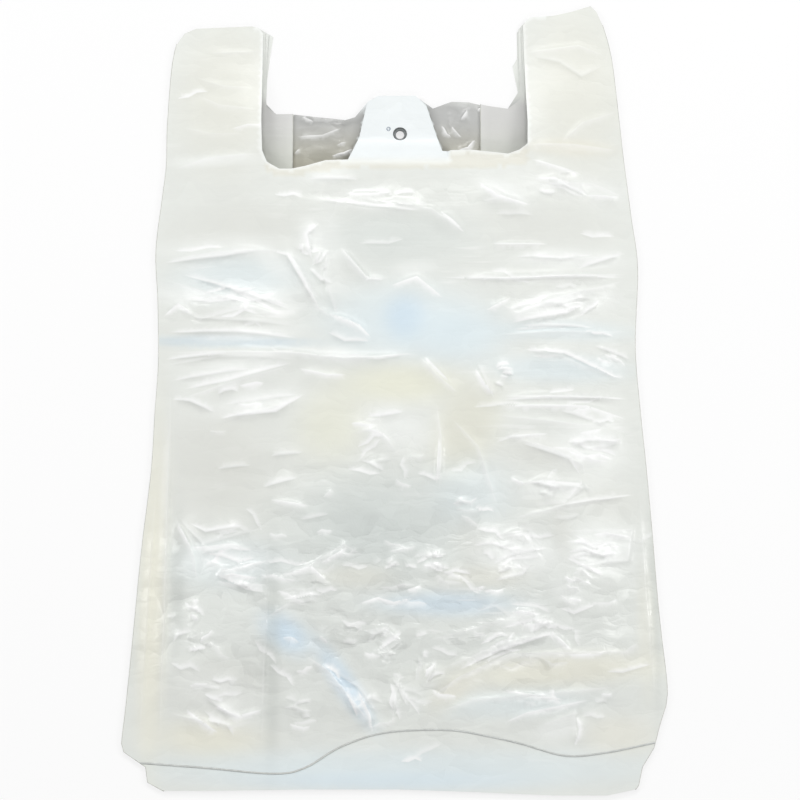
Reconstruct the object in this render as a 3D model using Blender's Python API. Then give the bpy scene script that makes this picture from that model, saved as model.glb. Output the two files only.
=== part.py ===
"""A thin plastic carrier bag with two handles, lying flat on its back panel with a little air in it.

The film is folded the way such a bag is made from a flat tube. A front panel lies over a gusset
folded in at each side and a back panel, so the sides are four layers deep. One weld closes the
bottom, one closes the top of each handle, and a pin weld holds the front and back of the hanging
tab together. X runs across the bag, Y runs up to the handles and Z is up.
"""

import math
import random

import bmesh
import bpy
from mathutils import Vector
from mathutils.geometry import delaunay_2d_cdt

# Driving sizes in metres.
FACE_WIDTH = 0.300
BODY_HEIGHT = 0.389
HANDLE_HEIGHT = 0.097
HANDLE_WIDTH = 0.061
LEFT_GUSSET_DEPTH = 0.081
RIGHT_GUSSET_DEPTH = 0.098
BACK_MOUTH_ABOVE_FRONT = 0.038
TAB_HEIGHT = 0.050
TAB_BASE_WIDTH = 0.060
TAB_TOP_WIDTH = 0.034
TAB_SHIFT = -0.003
HANG_HOLE_RADIUS = 0.00425
HANG_HOLE_BELOW_TAB_TOP = 0.0257
PIN_WELD_RADIUS = 0.0022
PIN_WELD_ASIDE = 0.0074
PIN_WELD_ABOVE_HOLE = 0.0035

# Thickness of the modelled film, the pitch of its layers, and the welds.
FILM = 0.0004
PITCH = 0.0008
WELD_WIDTH = 0.0025
SEAL_WIDTH = 0.0030
WELD_INSET = 0.0001
SEAL_INSET = 0.0003

# The air in the bag lifts the front panel, which comes down again at the sides, weld and handles.
AIR = 0.0092
SIDE_RUN = 0.058
WELD_RUN = 0.075
HANDLE_RUN = 0.075
HANDLE_RISE = 0.010
LIP_DROP = 0.0012
LIP_WIDTH = 0.009

# The tab is held where front and back meet, so the back panel rises to it.
TAB_RUN = 0.024
TAB_PULL = 0.22
TAB_PULL_REACH = 0.050
TAB_LIFT = 0.0026
TAB_LIFT_RUN = 0.040

# Spacing of the points that carry the film's shape.
PANEL_STEP = 0.0135
LAYER_STEP = 0.030
EDGE_STEP = 0.015
CREASE_STEP = 0.011
POINT_CLEARANCE = 0.0042
BORDER_CLEARANCE = 0.0035
RUMPLE = 0.0007
SEED = 7
# Shares of a step: how far a filling point strays, and how near it may come to another point.
STRAY = 0.3
FILL_CLEARANCE = 0.62
FOOT_CLEARANCE = 0.6
# The share of a crease's length over which it fades out at each end.
CREASE_FADE = 0.25

# The rest spot under the back panel is one flat facet.
REST_SPOT_RADIUS = 0.022

# Outlines. A height of 0 to 1 runs up the body, and 1 to 2 runs up the handles.
# Side folds: metres outside half the face width, height.
LEFT_FOOT = [(-0.0085, 0.007), (0.0012, 0.020), (0.0026, 0.043), (0.0160, 0.066)]
LEFT_SIDE = [(0.0160, 0.066), (0.0174, 0.078), (0.0152, 0.142), (0.0118, 0.259), (0.0085, 0.377),
             (0.0038, 0.504), (0.0024, 0.597), (0.0010, 0.683), (0.0024, 0.784), (0.0044, 0.864),
             (0.0011, 0.956), (-0.0009, 1.045), (-0.0009, 1.325), (-0.0030, 1.734), (-0.0057, 1.881)]
RIGHT_FOOT = [(-0.0091, 0.009), (-0.0072, 0.015), (-0.0046, 0.043), (0.0026, 0.072)]
RIGHT_SIDE = [(0.0026, 0.072), (0.0069, 0.110), (0.0116, 0.155), (0.0089, 0.244), (0.0071, 0.303),
              (0.0048, 0.408), (0.0019, 0.520), (-0.0004, 0.595), (-0.0027, 0.705), (0.0000, 0.835),
              (-0.0033, 0.921), (-0.0072, 1.070), (-0.0092, 1.310), (-0.0134, 1.776), (-0.0187, 2.015)]
# Sealed tops of the handles: share of the handle's width, height.
LEFT_TOP = [(0.170, 1.955), (0.293, 1.989), (0.495, 1.995), (0.879, 2.006), (0.962, 1.995)]
RIGHT_TOP = [(0.367, 2.109), (0.430, 2.149), (0.633, 2.109), (0.834, 2.080), (1.079, 2.071)]

# Inner edges of the handles: metres inside the handle width, height. The layers end in steps.
LEFT_INNER = {
    "front": [(0.0002, 1.955), (0.0005, 1.330), (0.0015, 1.110), (0.0045, 1.035)],
    "front_gusset": [(0.0014, 1.960), (0.0016, 1.600), (0.0019, 1.455)],
    "back_gusset": [(0.0036, 1.955), (0.0024, 1.650), (0.0030, 1.450)],
    "back": [(0.0068, 1.940), (0.0048, 1.790), (0.0031, 1.640), (0.0027, 1.470)],
}
RIGHT_INNER = {
    "front": [(0.0092, 2.015), (0.0084, 1.600), (0.0076, 1.320), (0.0080, 1.160)],
    "front_gusset": [(0.0103, 2.010), (0.0098, 1.650), (0.0100, 1.500)],
    "back_gusset": [(0.0122, 1.990), (0.0120, 1.720), (0.0115, 1.500)],
    "back": [(0.0131, 1.970), (0.0131, 1.787), (0.0162, 1.734), (0.0150, 1.665), (0.0129, 1.550)],
}

# Mouth edges between the handles: share of the way to a handle, metres above the mouth's height.
FRONT_MOUTH = [(-0.860, -0.0011), (-0.774, -0.0011), (-0.679, 0.0008), (-0.531, 0.0048),
               (-0.362, 0.0054), (0.345, 0.0116), (0.499, 0.0119), (0.772, 0.0090), (0.851, 0.0116)]
BACK_MOUTH = [(-0.893, 0.0002), (-0.753, 0.0004), (-0.602, -0.0015), (-0.396, -0.0041),
              (-0.325, -0.0022), (0.238, 0.0036), (0.374, 0.0084), (0.502, 0.0085),
              (0.639, 0.0058), (0.777, 0.0039)]
MOUTH_CREST = [(-0.944, -0.0031), (-0.871, -0.0071), (-0.779, -0.0071), (-0.351, -0.0005),
               (0.327, -0.0005), (0.565, -0.0011), (0.841, 0.0002), (0.924, 0.0042)]

# The hanging tab's outline: side, share of the way from foot to top width, share of the height.
TAB_SHAPE = [(1, 0.000, 0.240), (1, 0.423, 0.580), (1, 0.769, 0.860), (1, 1.308, 1.000),
             (-1, 1.462, 1.000), (-1, 0.923, 0.916), (-1, 0.538, 0.450), (-1, 0.000, 0.110)]

# The bottom weld and the cut edge under it: share of half the face width, height. The weld's
# outermost points, past WELD_ENDS of the half width, are where it meets the side folds.
WELD_ENDS = 0.9
WELD_LINE = [(-1.000, 0.049), (-0.790, 0.042), (-0.505, 0.033), (-0.379, 0.042), (-0.240, 0.073),
             (-0.060, 0.095), (0.192, 0.099), (0.360, 0.089), (0.488, 0.078), (0.664, 0.060),
             (0.830, 0.065), (1.000, 0.080)]
BOTTOM_EDGE = [(-0.730, 0.007), (-0.360, 0.009), (0.000, 0.009), (0.300, 0.005), (0.610, 0.000),
               (0.830, 0.000)]

# Front creases: height, half width, then points as shares of half the face width and of the body.
FRONT_CREASES = [
    (0.0022, 0.011, [(0.40, 0.814), (0.69, 0.823), (0.94, 0.826)]),
    (0.0020, 0.013, [(-0.93, 0.854), (-0.73, 0.858), (-0.48, 0.859), (-0.42, 0.818), (-0.36, 0.763),
                     (-0.24, 0.716), (-0.12, 0.698)]),
    (0.0018, 0.009, [(-0.33, 0.914), (-0.42, 0.884), (-0.45, 0.850)]),
    (0.0016, 0.009, [(-0.27, 0.866), (-0.21, 0.834), (-0.12, 0.811), (0.02, 0.822)]),
    (0.0020, 0.010, [(-0.30, 0.945), (-0.15, 0.926), (-0.02, 0.930), (0.10, 0.933), (0.19, 0.903),
                     (0.27, 0.880)]),
    (0.0016, 0.008, [(0.36, 0.975), (0.40, 0.945), (0.54, 0.930)]),
    (0.0017, 0.009, [(-0.95, 0.818), (-0.71, 0.793), (-0.44, 0.745)]),
    (0.0024, 0.010, [(-0.96, 0.702), (-0.71, 0.698), (-0.41, 0.693), (-0.17, 0.686), (0.08, 0.691)]),
    (0.0020, 0.010, [(0.10, 0.683), (0.21, 0.654), (0.31, 0.621)]),
    (0.0018, 0.009, [(0.38, 0.737), (0.67, 0.729), (0.94, 0.732)]),
    (0.0020, 0.012, [(0.42, 0.756), (0.61, 0.775), (0.91, 0.800)]),
    (0.0016, 0.009, [(-0.90, 0.639), (-0.70, 0.660), (-0.50, 0.673)]),
    (0.0022, 0.010, [(0.36, 0.621), (0.66, 0.620), (0.95, 0.618)]),
    (0.0014, 0.006, [(-0.945, 0.600), (-0.95, 0.423), (-0.95, 0.236), (-0.96, 0.085)]),
    (0.0018, 0.007, [(-0.53, 0.400), (-0.53, 0.314), (-0.54, 0.203), (-0.55, 0.080)]),
    (0.0020, 0.011, [(-0.41, 0.321), (-0.26, 0.332), (-0.07, 0.321)]),
    (0.0024, 0.012, [(-0.50, 0.259), (-0.43, 0.219), (-0.29, 0.192), (-0.17, 0.142), (-0.11, 0.115)]),
    (0.0020, 0.009, [(-0.23, 0.243), (-0.14, 0.181), (-0.06, 0.120)]),
    (0.0024, 0.012, [(0.12, 0.158), (0.30, 0.198), (0.49, 0.219), (0.93, 0.219)]),
    (0.0018, 0.010, [(0.24, 0.150), (0.63, 0.158), (0.81, 0.172), (0.95, 0.182)]),
    (0.0020, 0.011, [(0.33, 0.354), (0.49, 0.395), (0.64, 0.356)]),
    (0.0020, 0.011, [(0.68, 0.384), (0.93, 0.406), (0.88, 0.340)]),
    (0.0014, 0.007, [(0.71, 0.135), (0.71, 0.085)]),
    (0.0020, 0.010, [(-0.90, 0.423), (-0.81, 0.384), (-0.85, 0.355), (-0.75, 0.314)]),
    (0.0018, 0.010, [(0.16, 0.566), (0.17, 0.518), (0.16, 0.455)]),
    (0.0018, 0.010, [(0.23, 0.534), (0.35, 0.526), (0.39, 0.487), (0.41, 0.431)]),
    (0.0018, 0.010, [(0.41, 0.582), (0.58, 0.550), (0.75, 0.526), (0.78, 0.494), (0.65, 0.479)]),
    (0.0018, 0.009, [(0.45, 0.425), (0.65, 0.447), (0.94, 0.464)]),
    (0.0018, 0.009, [(0.05, 0.213), (0.02, 0.160), (0.00, 0.125)]),
    (0.0016, 0.009, [(-0.70, 0.520), (-0.45, 0.470), (-0.30, 0.480)]),
    (0.0016, 0.009, [(-0.20, 0.430), (0.00, 0.400), (0.14, 0.410)]),
]
BACK_CREASES = [
    (0.0010, 0.010, [(-0.38, 0.760), (-0.10, 0.735), (0.22, 0.750)]),
    (0.0012, 0.012, [(-0.40, 0.560), (-0.15, 0.580), (0.10, 0.640)]),
    (0.0010, 0.010, [(-0.35, 0.300), (-0.05, 0.270), (0.24, 0.300)]),
    (0.0012, 0.012, [(0.05, 0.230), (0.18, 0.180), (0.22, 0.130)]),
    (0.0010, 0.009, [(-0.35, 0.880), (-0.20, 0.900), (0.05, 0.870)]),
]

FILM_COLOUR = (0.80, 0.81, 0.79, 1.0)
FILM_ROUGHNESS = 0.32


def smooth(value):
    """An eased step from 0 to 1."""
    value = min(1.0, max(0.0, value))
    return value * value * (3.0 - 2.0 * value)


def up(share):
    """The height of an outline point above the bottom edge."""
    if share <= 1.0:
        return share * BODY_HEIGHT
    return BODY_HEIGHT + (share - 1.0) * HANDLE_HEIGHT


def across(share):
    return share * FACE_WIDTH / 2


def outside(sign, points):
    """Outline points given as metres outside half the face width."""
    return [(sign * (FACE_WIDTH / 2 + out), up(share)) for out, share in points]


def curved(points, step):
    """A smooth curve through the points, sampled at about the given step."""
    ends = [points[0]] + list(points) + [points[-1]]
    result = [points[0]]
    for before, start, end, after in zip(ends, ends[1:], ends[2:], ends[3:]):
        count = max(1, round(math.dist(start, end) / step))
        for index in range(1, count + 1):
            t = index / count
            weights = (
                (-t ** 3 + 2 * t ** 2 - t) / 2,
                (3 * t ** 3 - 5 * t ** 2 + 2) / 2,
                (-3 * t ** 3 + 4 * t ** 2 + t) / 2,
                (t ** 3 - t ** 2) / 2,
            )
            corners = (before, start, end, after)
            result.append(tuple(sum(w * p[axis] for w, p in zip(weights, corners)) for axis in (0, 1)))
    return result


def side_fold(sign):
    """One side fold, from the bottom edge to the top of the handle."""
    foot, side = (LEFT_FOOT, LEFT_SIDE) if sign < 0 else (RIGHT_FOOT, RIGHT_SIDE)
    return outside(sign, foot)[:-1] + curved(outside(sign, side), EDGE_STEP)


def handle_top(sign):
    """The sealed top edge of one handle, from its outer corner inwards."""
    table = LEFT_TOP if sign < 0 else RIGHT_TOP
    return outside(sign, [(-share * HANDLE_WIDTH, height) for share, height in table])


def handle_inner(sign, layer):
    """The cut inner edge of one layer of a handle, from the top down."""
    table = (LEFT_INNER if sign < 0 else RIGHT_INNER)[layer]
    reach = FACE_WIDTH / 2 - HANDLE_WIDTH
    return [(sign * (reach - inside), up(share)) for inside, share in table]


def gusset_x(sign):
    depth = LEFT_GUSSET_DEPTH if sign < 0 else RIGHT_GUSSET_DEPTH
    return sign * (FACE_WIDTH / 2 - depth)


def mouth(table, level):
    reach = FACE_WIDTH / 2 - HANDLE_WIDTH
    return [(share * reach, level + rise) for share, rise in table]


def height_on(path, x):
    """The height of a left to right path above the given x."""
    if x <= path[0][0]:
        return path[0][1]
    for (x0, y0), (x1, y1) in zip(path, path[1:]):
        if x <= x1:
            return y0 + (y1 - y0) * (x - x0) / (x1 - x0)
    return path[-1][1]


def fold_x(path, y):
    """The x of a bottom to top path at the given height."""
    for (x0, y0), (x1, y1) in zip(path, path[1:]):
        if y0 <= y <= y1:
            return x0 + (x1 - x0) * (y - y0) / max(y1 - y0, 1e-9)
    return path[0][0] if y < path[0][1] else path[-1][0]


def tab_outline():
    """The hanging tab from its right foot over the top to its left foot."""
    result = []
    for side, narrowing, rise in TAB_SHAPE:
        width = TAB_BASE_WIDTH + narrowing * (TAB_TOP_WIDTH - TAB_BASE_WIDTH)
        result.append((TAB_SHIFT + side * width / 2, BODY_HEIGHT + rise * TAB_HEIGHT))
    return result


LEFT_FOLD = side_fold(-1)
RIGHT_FOLD = side_fold(1)
WELD_PATH = [(across(share), up(rise)) for share, rise in WELD_LINE]
EDGE_PATH = [(across(share), up(rise)) for share, rise in BOTTOM_EDGE]
FRONT_LINE = mouth(FRONT_MOUTH, BODY_HEIGHT)
BACK_LINE = mouth(BACK_MOUTH, BODY_HEIGHT + BACK_MOUTH_ABOVE_FRONT)
CREST_LINE = mouth(MOUTH_CREST, BODY_HEIGHT)
HOLE_CENTRE = (0.0, BODY_HEIGHT + TAB_HEIGHT - HANG_HOLE_BELOW_TAB_TOP)
PIN_CENTRE = (HOLE_CENTRE[0] - PIN_WELD_ASIDE, HOLE_CENTRE[1] + PIN_WELD_ABOVE_HOLE)
REST_SPOT = (0.0, 0.48 * BODY_HEIGHT)
BACK_LEVEL = FILM / 2
BACK_GUSSET_LEVEL = BACK_LEVEL + PITCH
FRONT_GUSSET_LEVEL = BACK_GUSSET_LEVEL + PITCH
FRONT_LEVEL = FRONT_GUSSET_LEVEL + PITCH
TAB_LEVEL = BACK_LEVEL + TAB_LIFT + PITCH
TAB_LIFT_TOP = BODY_HEIGHT + 0.3 * TAB_HEIGHT


def between(path, low, high):
    return [point for point in path if low < point[0] < high]


def front_outline():
    """The front panel, counter-clockwise from the left end of the bottom edge."""
    tab = tab_outline()
    right = between(FRONT_LINE, tab[0][0], FACE_WIDTH)
    left = between(FRONT_LINE, -FACE_WIDTH, tab[-1][0])
    return (
        [LEFT_FOLD[0]] + EDGE_PATH + RIGHT_FOLD + handle_top(1) + handle_inner(1, "front")
        + right[::-1] + tab + left[::-1]
        + handle_inner(-1, "front")[::-1] + handle_top(-1)[::-1] + LEFT_FOLD[:0:-1]
    )


def back_outline():
    """The back panel, whose mouth is cut higher than the front panel's."""
    tab = tab_outline()
    line = [p for p in tab if p[1] > height_on(BACK_LINE, p[0]) + POINT_CLEARANCE]
    right = between(BACK_LINE, line[0][0], FACE_WIDTH)
    left = between(BACK_LINE, -FACE_WIDTH, line[-1][0])
    return (
        [LEFT_FOLD[0]] + EDGE_PATH + RIGHT_FOLD + handle_top(1) + handle_inner(1, "back")
        + right[::-1] + line + left[::-1]
        + handle_inner(-1, "back")[::-1] + handle_top(-1)[::-1] + LEFT_FOLD[:0:-1]
    )


def gusset_fold(sign):
    """The inner fold of a gusset, from the bottom edge to the back mouth."""
    x = gusset_x(sign)
    low = height_on([LEFT_FOLD[0]] + EDGE_PATH + [RIGHT_FOLD[0]], x)
    high = height_on(BACK_LINE, x)
    count = max(2, round((high - low) / LAYER_STEP))
    return [(x, low + (high - low) * index / count) for index in range(count + 1)]


def gusset_outline(sign, layer):
    """One layer of a gusset, counter-clockwise for the left side."""
    fold = gusset_fold(sign)
    side = LEFT_FOLD if sign < 0 else RIGHT_FOLD
    low, high = sorted((side[0][0], fold[0][0]))
    bottom = between(EDGE_PATH, low, high)
    low, high = sorted((fold[0][0], handle_inner(sign, layer)[-1][0]))
    top = between(BACK_LINE, low, high)
    if sign < 0:
        bottom = [side[0]] + bottom
        top = top[::-1]
    else:
        bottom = [side[0]] + bottom[::-1]
    return bottom + fold + top + handle_inner(sign, layer)[::-1] + handle_top(sign)[::-1] + side[:0:-1]


def inside(outline, x, y):
    """Whether a point lies in an outline, by counting crossings."""
    result = False
    for (x0, y0), (x1, y1) in zip(outline, outline[1:] + outline[:1]):
        if (y0 > y) != (y1 > y) and x < x0 + (x1 - x0) * (y - y0) / (y1 - y0):
            result = not result
    return result


def gap_to(outline, x, y):
    """The distance from a point to the nearest edge of an outline."""
    best = math.inf
    for (x0, y0), (x1, y1) in zip(outline, outline[1:] + outline[:1]):
        dx, dy = x1 - x0, y1 - y0
        share = ((x - x0) * dx + (y - y0) * dy) / max(dx * dx + dy * dy, 1e-12)
        share = min(1.0, max(0.0, share))
        best = min(best, math.hypot(x - x0 - share * dx, y - y0 - share * dy))
    return best


def crease_paths(creases):
    """Each crease as its height, half width and path in metres."""
    return [
        (height, width, curved([(across(u), up(v)) for u, v in points], CREASE_STEP))
        for height, width, points in creases
    ]


def crease_lift(paths, x, y):
    """How far the creases lift the film at a point. Each is a tent that fades out at its ends."""
    lift = 0.0
    for height, width, path in paths:
        length = sum(math.dist(a, b) for a, b in zip(path, path[1:]))
        run = 0.0
        best = (width, 0.0)
        for (x0, y0), (x1, y1) in zip(path, path[1:]):
            dx, dy = x1 - x0, y1 - y0
            part = math.hypot(dx, dy)
            share = min(1.0, max(0.0, ((x - x0) * dx + (y - y0) * dy) / part ** 2))
            away = math.hypot(x - x0 - share * dx, y - y0 - share * dy)
            if away < best[0]:
                best = (away, run + share * part)
            run += part
        fade = min(1.0, best[1] / (CREASE_FADE * length), (length - best[1]) / (CREASE_FADE * length))
        lift += height * (1.0 - best[0] / width) * max(fade, 0.0)
    return lift


FRONT_PATHS = crease_paths(FRONT_CREASES)
BACK_PATHS = crease_paths(BACK_CREASES)


def air_lift(x, y):
    """How far the air in the bag lifts the front panel."""
    side = min(x - fold_x(LEFT_FOLD, y), fold_x(RIGHT_FOLD, y) - x)
    rise = smooth(side / SIDE_RUN)
    rise *= smooth((y - height_on(WELD_PATH, x) - WELD_WIDTH / 2) / WELD_RUN)
    rise *= 1.0 - smooth((y - BODY_HEIGHT - HANDLE_RISE) / HANDLE_RUN)
    pull = math.exp(-(x / TAB_PULL_REACH) ** 2 - ((y - BODY_HEIGHT) / TAB_PULL_REACH) ** 2)
    return AIR * rise * (1.0 - TAB_PULL * pull)


def front_height(x, y):
    """The middle of the front panel's film above the floor."""
    height = FRONT_LEVEL + air_lift(x, y)
    crest = height_on(CREST_LINE, x)
    tab = tab_outline()
    if y > crest and tab[-1][0] - POINT_CLEARANCE < x < tab[0][0] + POINT_CLEARANCE:
        return height + (TAB_LEVEL - height) * smooth((y - crest) / TAB_RUN)
    handles = [handle_inner(sign, "front")[-1][0] for sign in (-1, 1)]
    if crest < y < crest + 2 * LIP_WIDTH and handles[0] < x < handles[1]:
        height -= LIP_DROP * min(1.0, (y - crest) / LIP_WIDTH)
    return height + crease_lift(FRONT_PATHS, x, y)


def back_height(x, y):
    """The middle of the back panel's film above the floor. It lies flat, apart from the tab."""
    sign = math.copysign(1, x - TAB_SHIFT)
    foot = TAB_SHIFT + sign * TAB_BASE_WIDTH / 2
    lift = TAB_LIFT * smooth((y - TAB_LIFT_TOP) / TAB_LIFT_RUN + 1.0)
    lift *= 1.0 - smooth((x - foot) / (gusset_x(sign) - foot))
    return BACK_LEVEL + lift + crease_lift(BACK_PATHS, x, y)


def ring(centre, radius, count, start=0.0):
    turns = [start + 2 * math.pi * index / count for index in range(count)]
    return [(centre[0] + radius * math.cos(a), centre[1] + radius * math.sin(a)) for a in turns]


class Sheet:
    """One layer of film: its points, the edges that it must keep, and its holes."""

    def __init__(self, outline, height, step, paths=(), holes=(), rings=(), rumple=0.0, lines=()):
        self.outline = outline
        self.height = height
        self.holes = holes
        self.points = []
        self.edges = []
        self.lifts = {}
        self.add_loop(outline)
        for loop in holes:
            self.add_loop(loop)
        for loop in rings:
            self.add_loop(loop)
        for line in lines:
            first = len(self.points)
            self.points += line
            self.edges += [(first + index, first + index + 1) for index in range(len(line) - 1)]
        self.keep_out = [(loop, 2 * BORDER_CLEARANCE) for loop in holes]
        self.keep_out += [(loop, 0.0) for loop in rings]
        for _, width, path in paths:
            self.add_crease(path, width)
        self.fill(step, rumple)

    def add_loop(self, loop):
        first = len(self.points)
        count = len(loop)
        self.points += loop
        self.edges += [(first + index, first + (index + 1) % count) for index in range(count)]

    def is_free(self, x, y, clearance):
        if not inside(self.outline, x, y) or gap_to(self.outline, x, y) < BORDER_CLEARANCE:
            return False
        for loop, margin in self.keep_out:
            if inside(loop, x, y) or gap_to(loop, x, y) < margin + BORDER_CLEARANCE:
                return False
        return all(math.dist((x, y), other) > clearance for other in self.points)

    def add_crease(self, path, width):
        """Points along the crest of a crease, joined by edges, and along its two feet."""
        last = None
        feet = []
        for index, (x, y) in enumerate(path):
            if not self.is_free(x, y, POINT_CLEARANCE):
                last = None
                continue
            self.points.append((x, y))
            here = len(self.points) - 1
            if last is not None:
                self.edges.append((last, here))
            last = here
            near = path[max(0, index - 1)]
            far = path[min(len(path) - 1, index + 1)]
            along = Vector((far[0] - near[0], far[1] - near[1])).normalized()
            feet.append((x - along.y * width, y + along.x * width))
            feet.append((x + along.y * width, y - along.x * width))
        for x, y in feet:
            if self.is_free(x, y, FOOT_CLEARANCE * CREASE_STEP):
                self.points.append((x, y))

    def fill(self, step, rumple):
        """Scattered points between the creases, a little uneven in height as crumpled film is."""
        scatter = random.Random(SEED)
        low_x, high_x = min(p[0] for p in self.outline), max(p[0] for p in self.outline)
        low_y, high_y = min(p[1] for p in self.outline), max(p[1] for p in self.outline)
        for row in range(int((high_y - low_y) / step) + 1):
            for column in range(int((high_x - low_x) / step) + 2):
                x = low_x + (column + 0.5 * (row % 2) + scatter.uniform(-STRAY, STRAY)) * step
                y = low_y + (row + scatter.uniform(-STRAY, STRAY)) * step
                lift = rumple * scatter.random()
                if self.is_free(x, y, FILL_CLEARANCE * step):
                    self.lifts[len(self.points)] = lift
                    self.points.append((x, y))

    def build(self, bm):
        """Triangulate the layer into bm, and return its vertices by the points they stand on."""
        found, _, faces, origins, _, _ = delaunay_2d_cdt(
            [Vector(point) for point in self.points], self.edges, [], 1, 1e-7)
        verts = []
        by_point = {}
        for place, sources in zip(found, origins):
            lift = max((self.lifts.get(source, 0.0) for source in sources), default=0.0)
            vert = bm.verts.new((place.x, place.y, self.height(place.x, place.y) + lift))
            verts.append(vert)
            for source in sources:
                by_point[self.points[source]] = vert
        for face in faces:
            centre = sum((found[index] for index in face), Vector((0.0, 0.0))) / len(face)
            if not any(inside(loop, centre.x, centre.y) for loop in self.holes):
                bm.faces.new([verts[index] for index in face])
        return by_point


def fold_over(bm, path, upper, lower):
    """Join two layers along a fold with a strip of film."""
    for start, end in zip(path, path[1:]):
        bm.faces.new((upper[start], upper[end], lower[end], lower[start]))


def bag_film():
    """The folded film as one sheet without thickness."""
    bm = bmesh.new()
    hole = ring(HOLE_CENTRE, HANG_HOLE_RADIUS, 14)
    pin = ring(PIN_CENTRE, PIN_WELD_RADIUS + FILM, 8)
    spot = ring(REST_SPOT, REST_SPOT_RADIUS, 3, math.pi / 2)
    rise = [(TAB_SHIFT + side * TAB_BASE_WIDTH / 2, TAB_LIFT_TOP) for side in (-1, 1)]
    lines = [rise, gusset_fold(-1), gusset_fold(1)]
    front = Sheet(front_outline(), front_height, PANEL_STEP, FRONT_PATHS, [hole], [pin], RUMPLE)
    back = Sheet(back_outline(), back_height, LAYER_STEP, BACK_PATHS, [hole], [pin, spot], 0.0, lines)
    front_verts = front.build(bm)
    back_verts = back.build(bm)
    for sign, side in ((-1, LEFT_FOLD), (1, RIGHT_FOLD)):
        over = Sheet(gusset_outline(sign, "front_gusset"), lambda x, y: FRONT_GUSSET_LEVEL, LAYER_STEP)
        under = Sheet(gusset_outline(sign, "back_gusset"), lambda x, y: BACK_GUSSET_LEVEL, LAYER_STEP)
        over_verts = over.build(bm)
        under_verts = under.build(bm)
        fold_over(bm, side, front_verts, over_verts)
        fold_over(bm, gusset_fold(sign), over_verts, under_verts)
        fold_over(bm, side, under_verts, back_verts)
    loose = [vert for vert in bm.verts if not vert.link_faces]
    bmesh.ops.delete(bm, geom=loose, context="VERTS")
    bmesh.ops.recalc_face_normals(bm, faces=bm.faces)
    return bm


def offset(path, distance):
    """A path moved to its left side by a distance."""
    result = []
    for index, (x, y) in enumerate(path):
        near = path[max(0, index - 1)]
        far = path[min(len(path) - 1, index + 1)]
        along = Vector((far[0] - near[0], far[1] - near[1])).normalized()
        result.append((x - along.y * distance, y + along.x * distance))
    return result


def add_bar(bm, one, other, low, high):
    """A flat bar between two paths of the same length."""
    rows = [[bm.verts.new((x, y, z)) for x, y in path] for z in (low, high) for path in (one, other)]
    one_low, other_low, one_high, other_high = rows
    for index in range(len(one) - 1):
        after = index + 1
        bm.faces.new((one_low[index], one_low[after], other_low[after], other_low[index]))
        bm.faces.new((one_high[index], other_high[index], other_high[after], one_high[after]))
        bm.faces.new((one_low[index], one_high[index], one_high[after], one_low[after]))
        bm.faces.new((other_low[index], other_low[after], other_high[after], other_high[index]))
    for end in (0, -1):
        bm.faces.new((one_low[end], other_low[end], other_high[end], one_high[end]))


def seal_path(sign):
    """The top seal of a handle, from the side fold to the inner edge of the front layer."""
    fold = LEFT_FOLD if sign < 0 else RIGHT_FOLD
    return [fold[-1]] + handle_top(sign) + [handle_inner(sign, "front")[0]]


def weld_path():
    """The bottom weld, from the middle of one side fold's film to the other's."""
    inner = [point for point in WELD_PATH if abs(point[0]) < across(WELD_ENDS)]
    ends = []
    for fold, near in ((LEFT_FOLD, inner[0]), (RIGHT_FOLD, inner[-1])):
        level = height_on(WELD_PATH, math.copysign(FACE_WIDTH / 2, near[0]))
        ends.append((fold, level))
    one = [(fold_x(ends[0][0], ends[0][1] + side * WELD_WIDTH / 2), ends[0][1] + side * WELD_WIDTH / 2)
           for side in (1, -1)]
    other = [(fold_x(ends[1][0], ends[1][1] + side * WELD_WIDTH / 2), ends[1][1] + side * WELD_WIDTH / 2)
             for side in (1, -1)]
    upper = [one[0]] + [(x, y + WELD_WIDTH / 2) for x, y in inner] + [other[0]]
    lower = [one[1]] + [(x, y - WELD_WIDTH / 2) for x, y in inner] + [other[1]]
    return upper, lower


def welds():
    """The bottom weld, the two handle seals and the pin weld of the tab."""
    bm = bmesh.new()
    low = WELD_INSET
    high = FRONT_LEVEL + FILM / 2 - WELD_INSET
    upper, lower = weld_path()
    add_bar(bm, upper, lower, low, high)
    for sign in (-1, 1):
        path = seal_path(sign)
        inward = -sign
        outer = [path[0]] + offset(path, inward * -SEAL_INSET)[1:]
        inner = [path[0]] + offset(path, inward * -(SEAL_INSET + SEAL_WIDTH))[1:]
        inner[0] = (fold_x(LEFT_FOLD if sign < 0 else RIGHT_FOLD, path[0][1] - SEAL_WIDTH),
                    path[0][1] - SEAL_WIDTH)
        add_bar(bm, outer, inner, low, high)
    bottom = TAB_LEVEL - PITCH - FILM / 2 + WELD_INSET
    top = TAB_LEVEL + FILM / 2 - WELD_INSET
    circle = ring(PIN_CENTRE, PIN_WELD_RADIUS, 10)
    base = [bm.verts.new((x, y, bottom)) for x, y in circle]
    cap = [bm.verts.new((x, y, top)) for x, y in circle]
    bm.faces.new(base[::-1])
    bm.faces.new(cap)
    for index in range(len(circle)):
        after = (index + 1) % len(circle)
        bm.faces.new((base[index], base[after], cap[after], cap[index]))
    bmesh.ops.recalc_face_normals(bm, faces=bm.faces)
    return bm


def add_object(name, bm, shift):
    bmesh.ops.translate(bm, verts=bm.verts, vec=shift)
    mesh = bpy.data.meshes.new(name)
    bm.to_mesh(mesh)
    bm.free()
    thing = bpy.data.objects.new(name, mesh)
    bpy.context.scene.collection.objects.link(thing)
    return thing


def film_material():
    material = bpy.data.materials.new("white_film")
    material.use_nodes = True
    shader = material.node_tree.nodes["Principled BSDF"]
    shader.inputs["Base Color"].default_value = FILM_COLOUR
    shader.inputs["Roughness"].default_value = FILM_ROUGHNESS
    shader.inputs["Metallic"].default_value = 0.0
    return material


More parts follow.
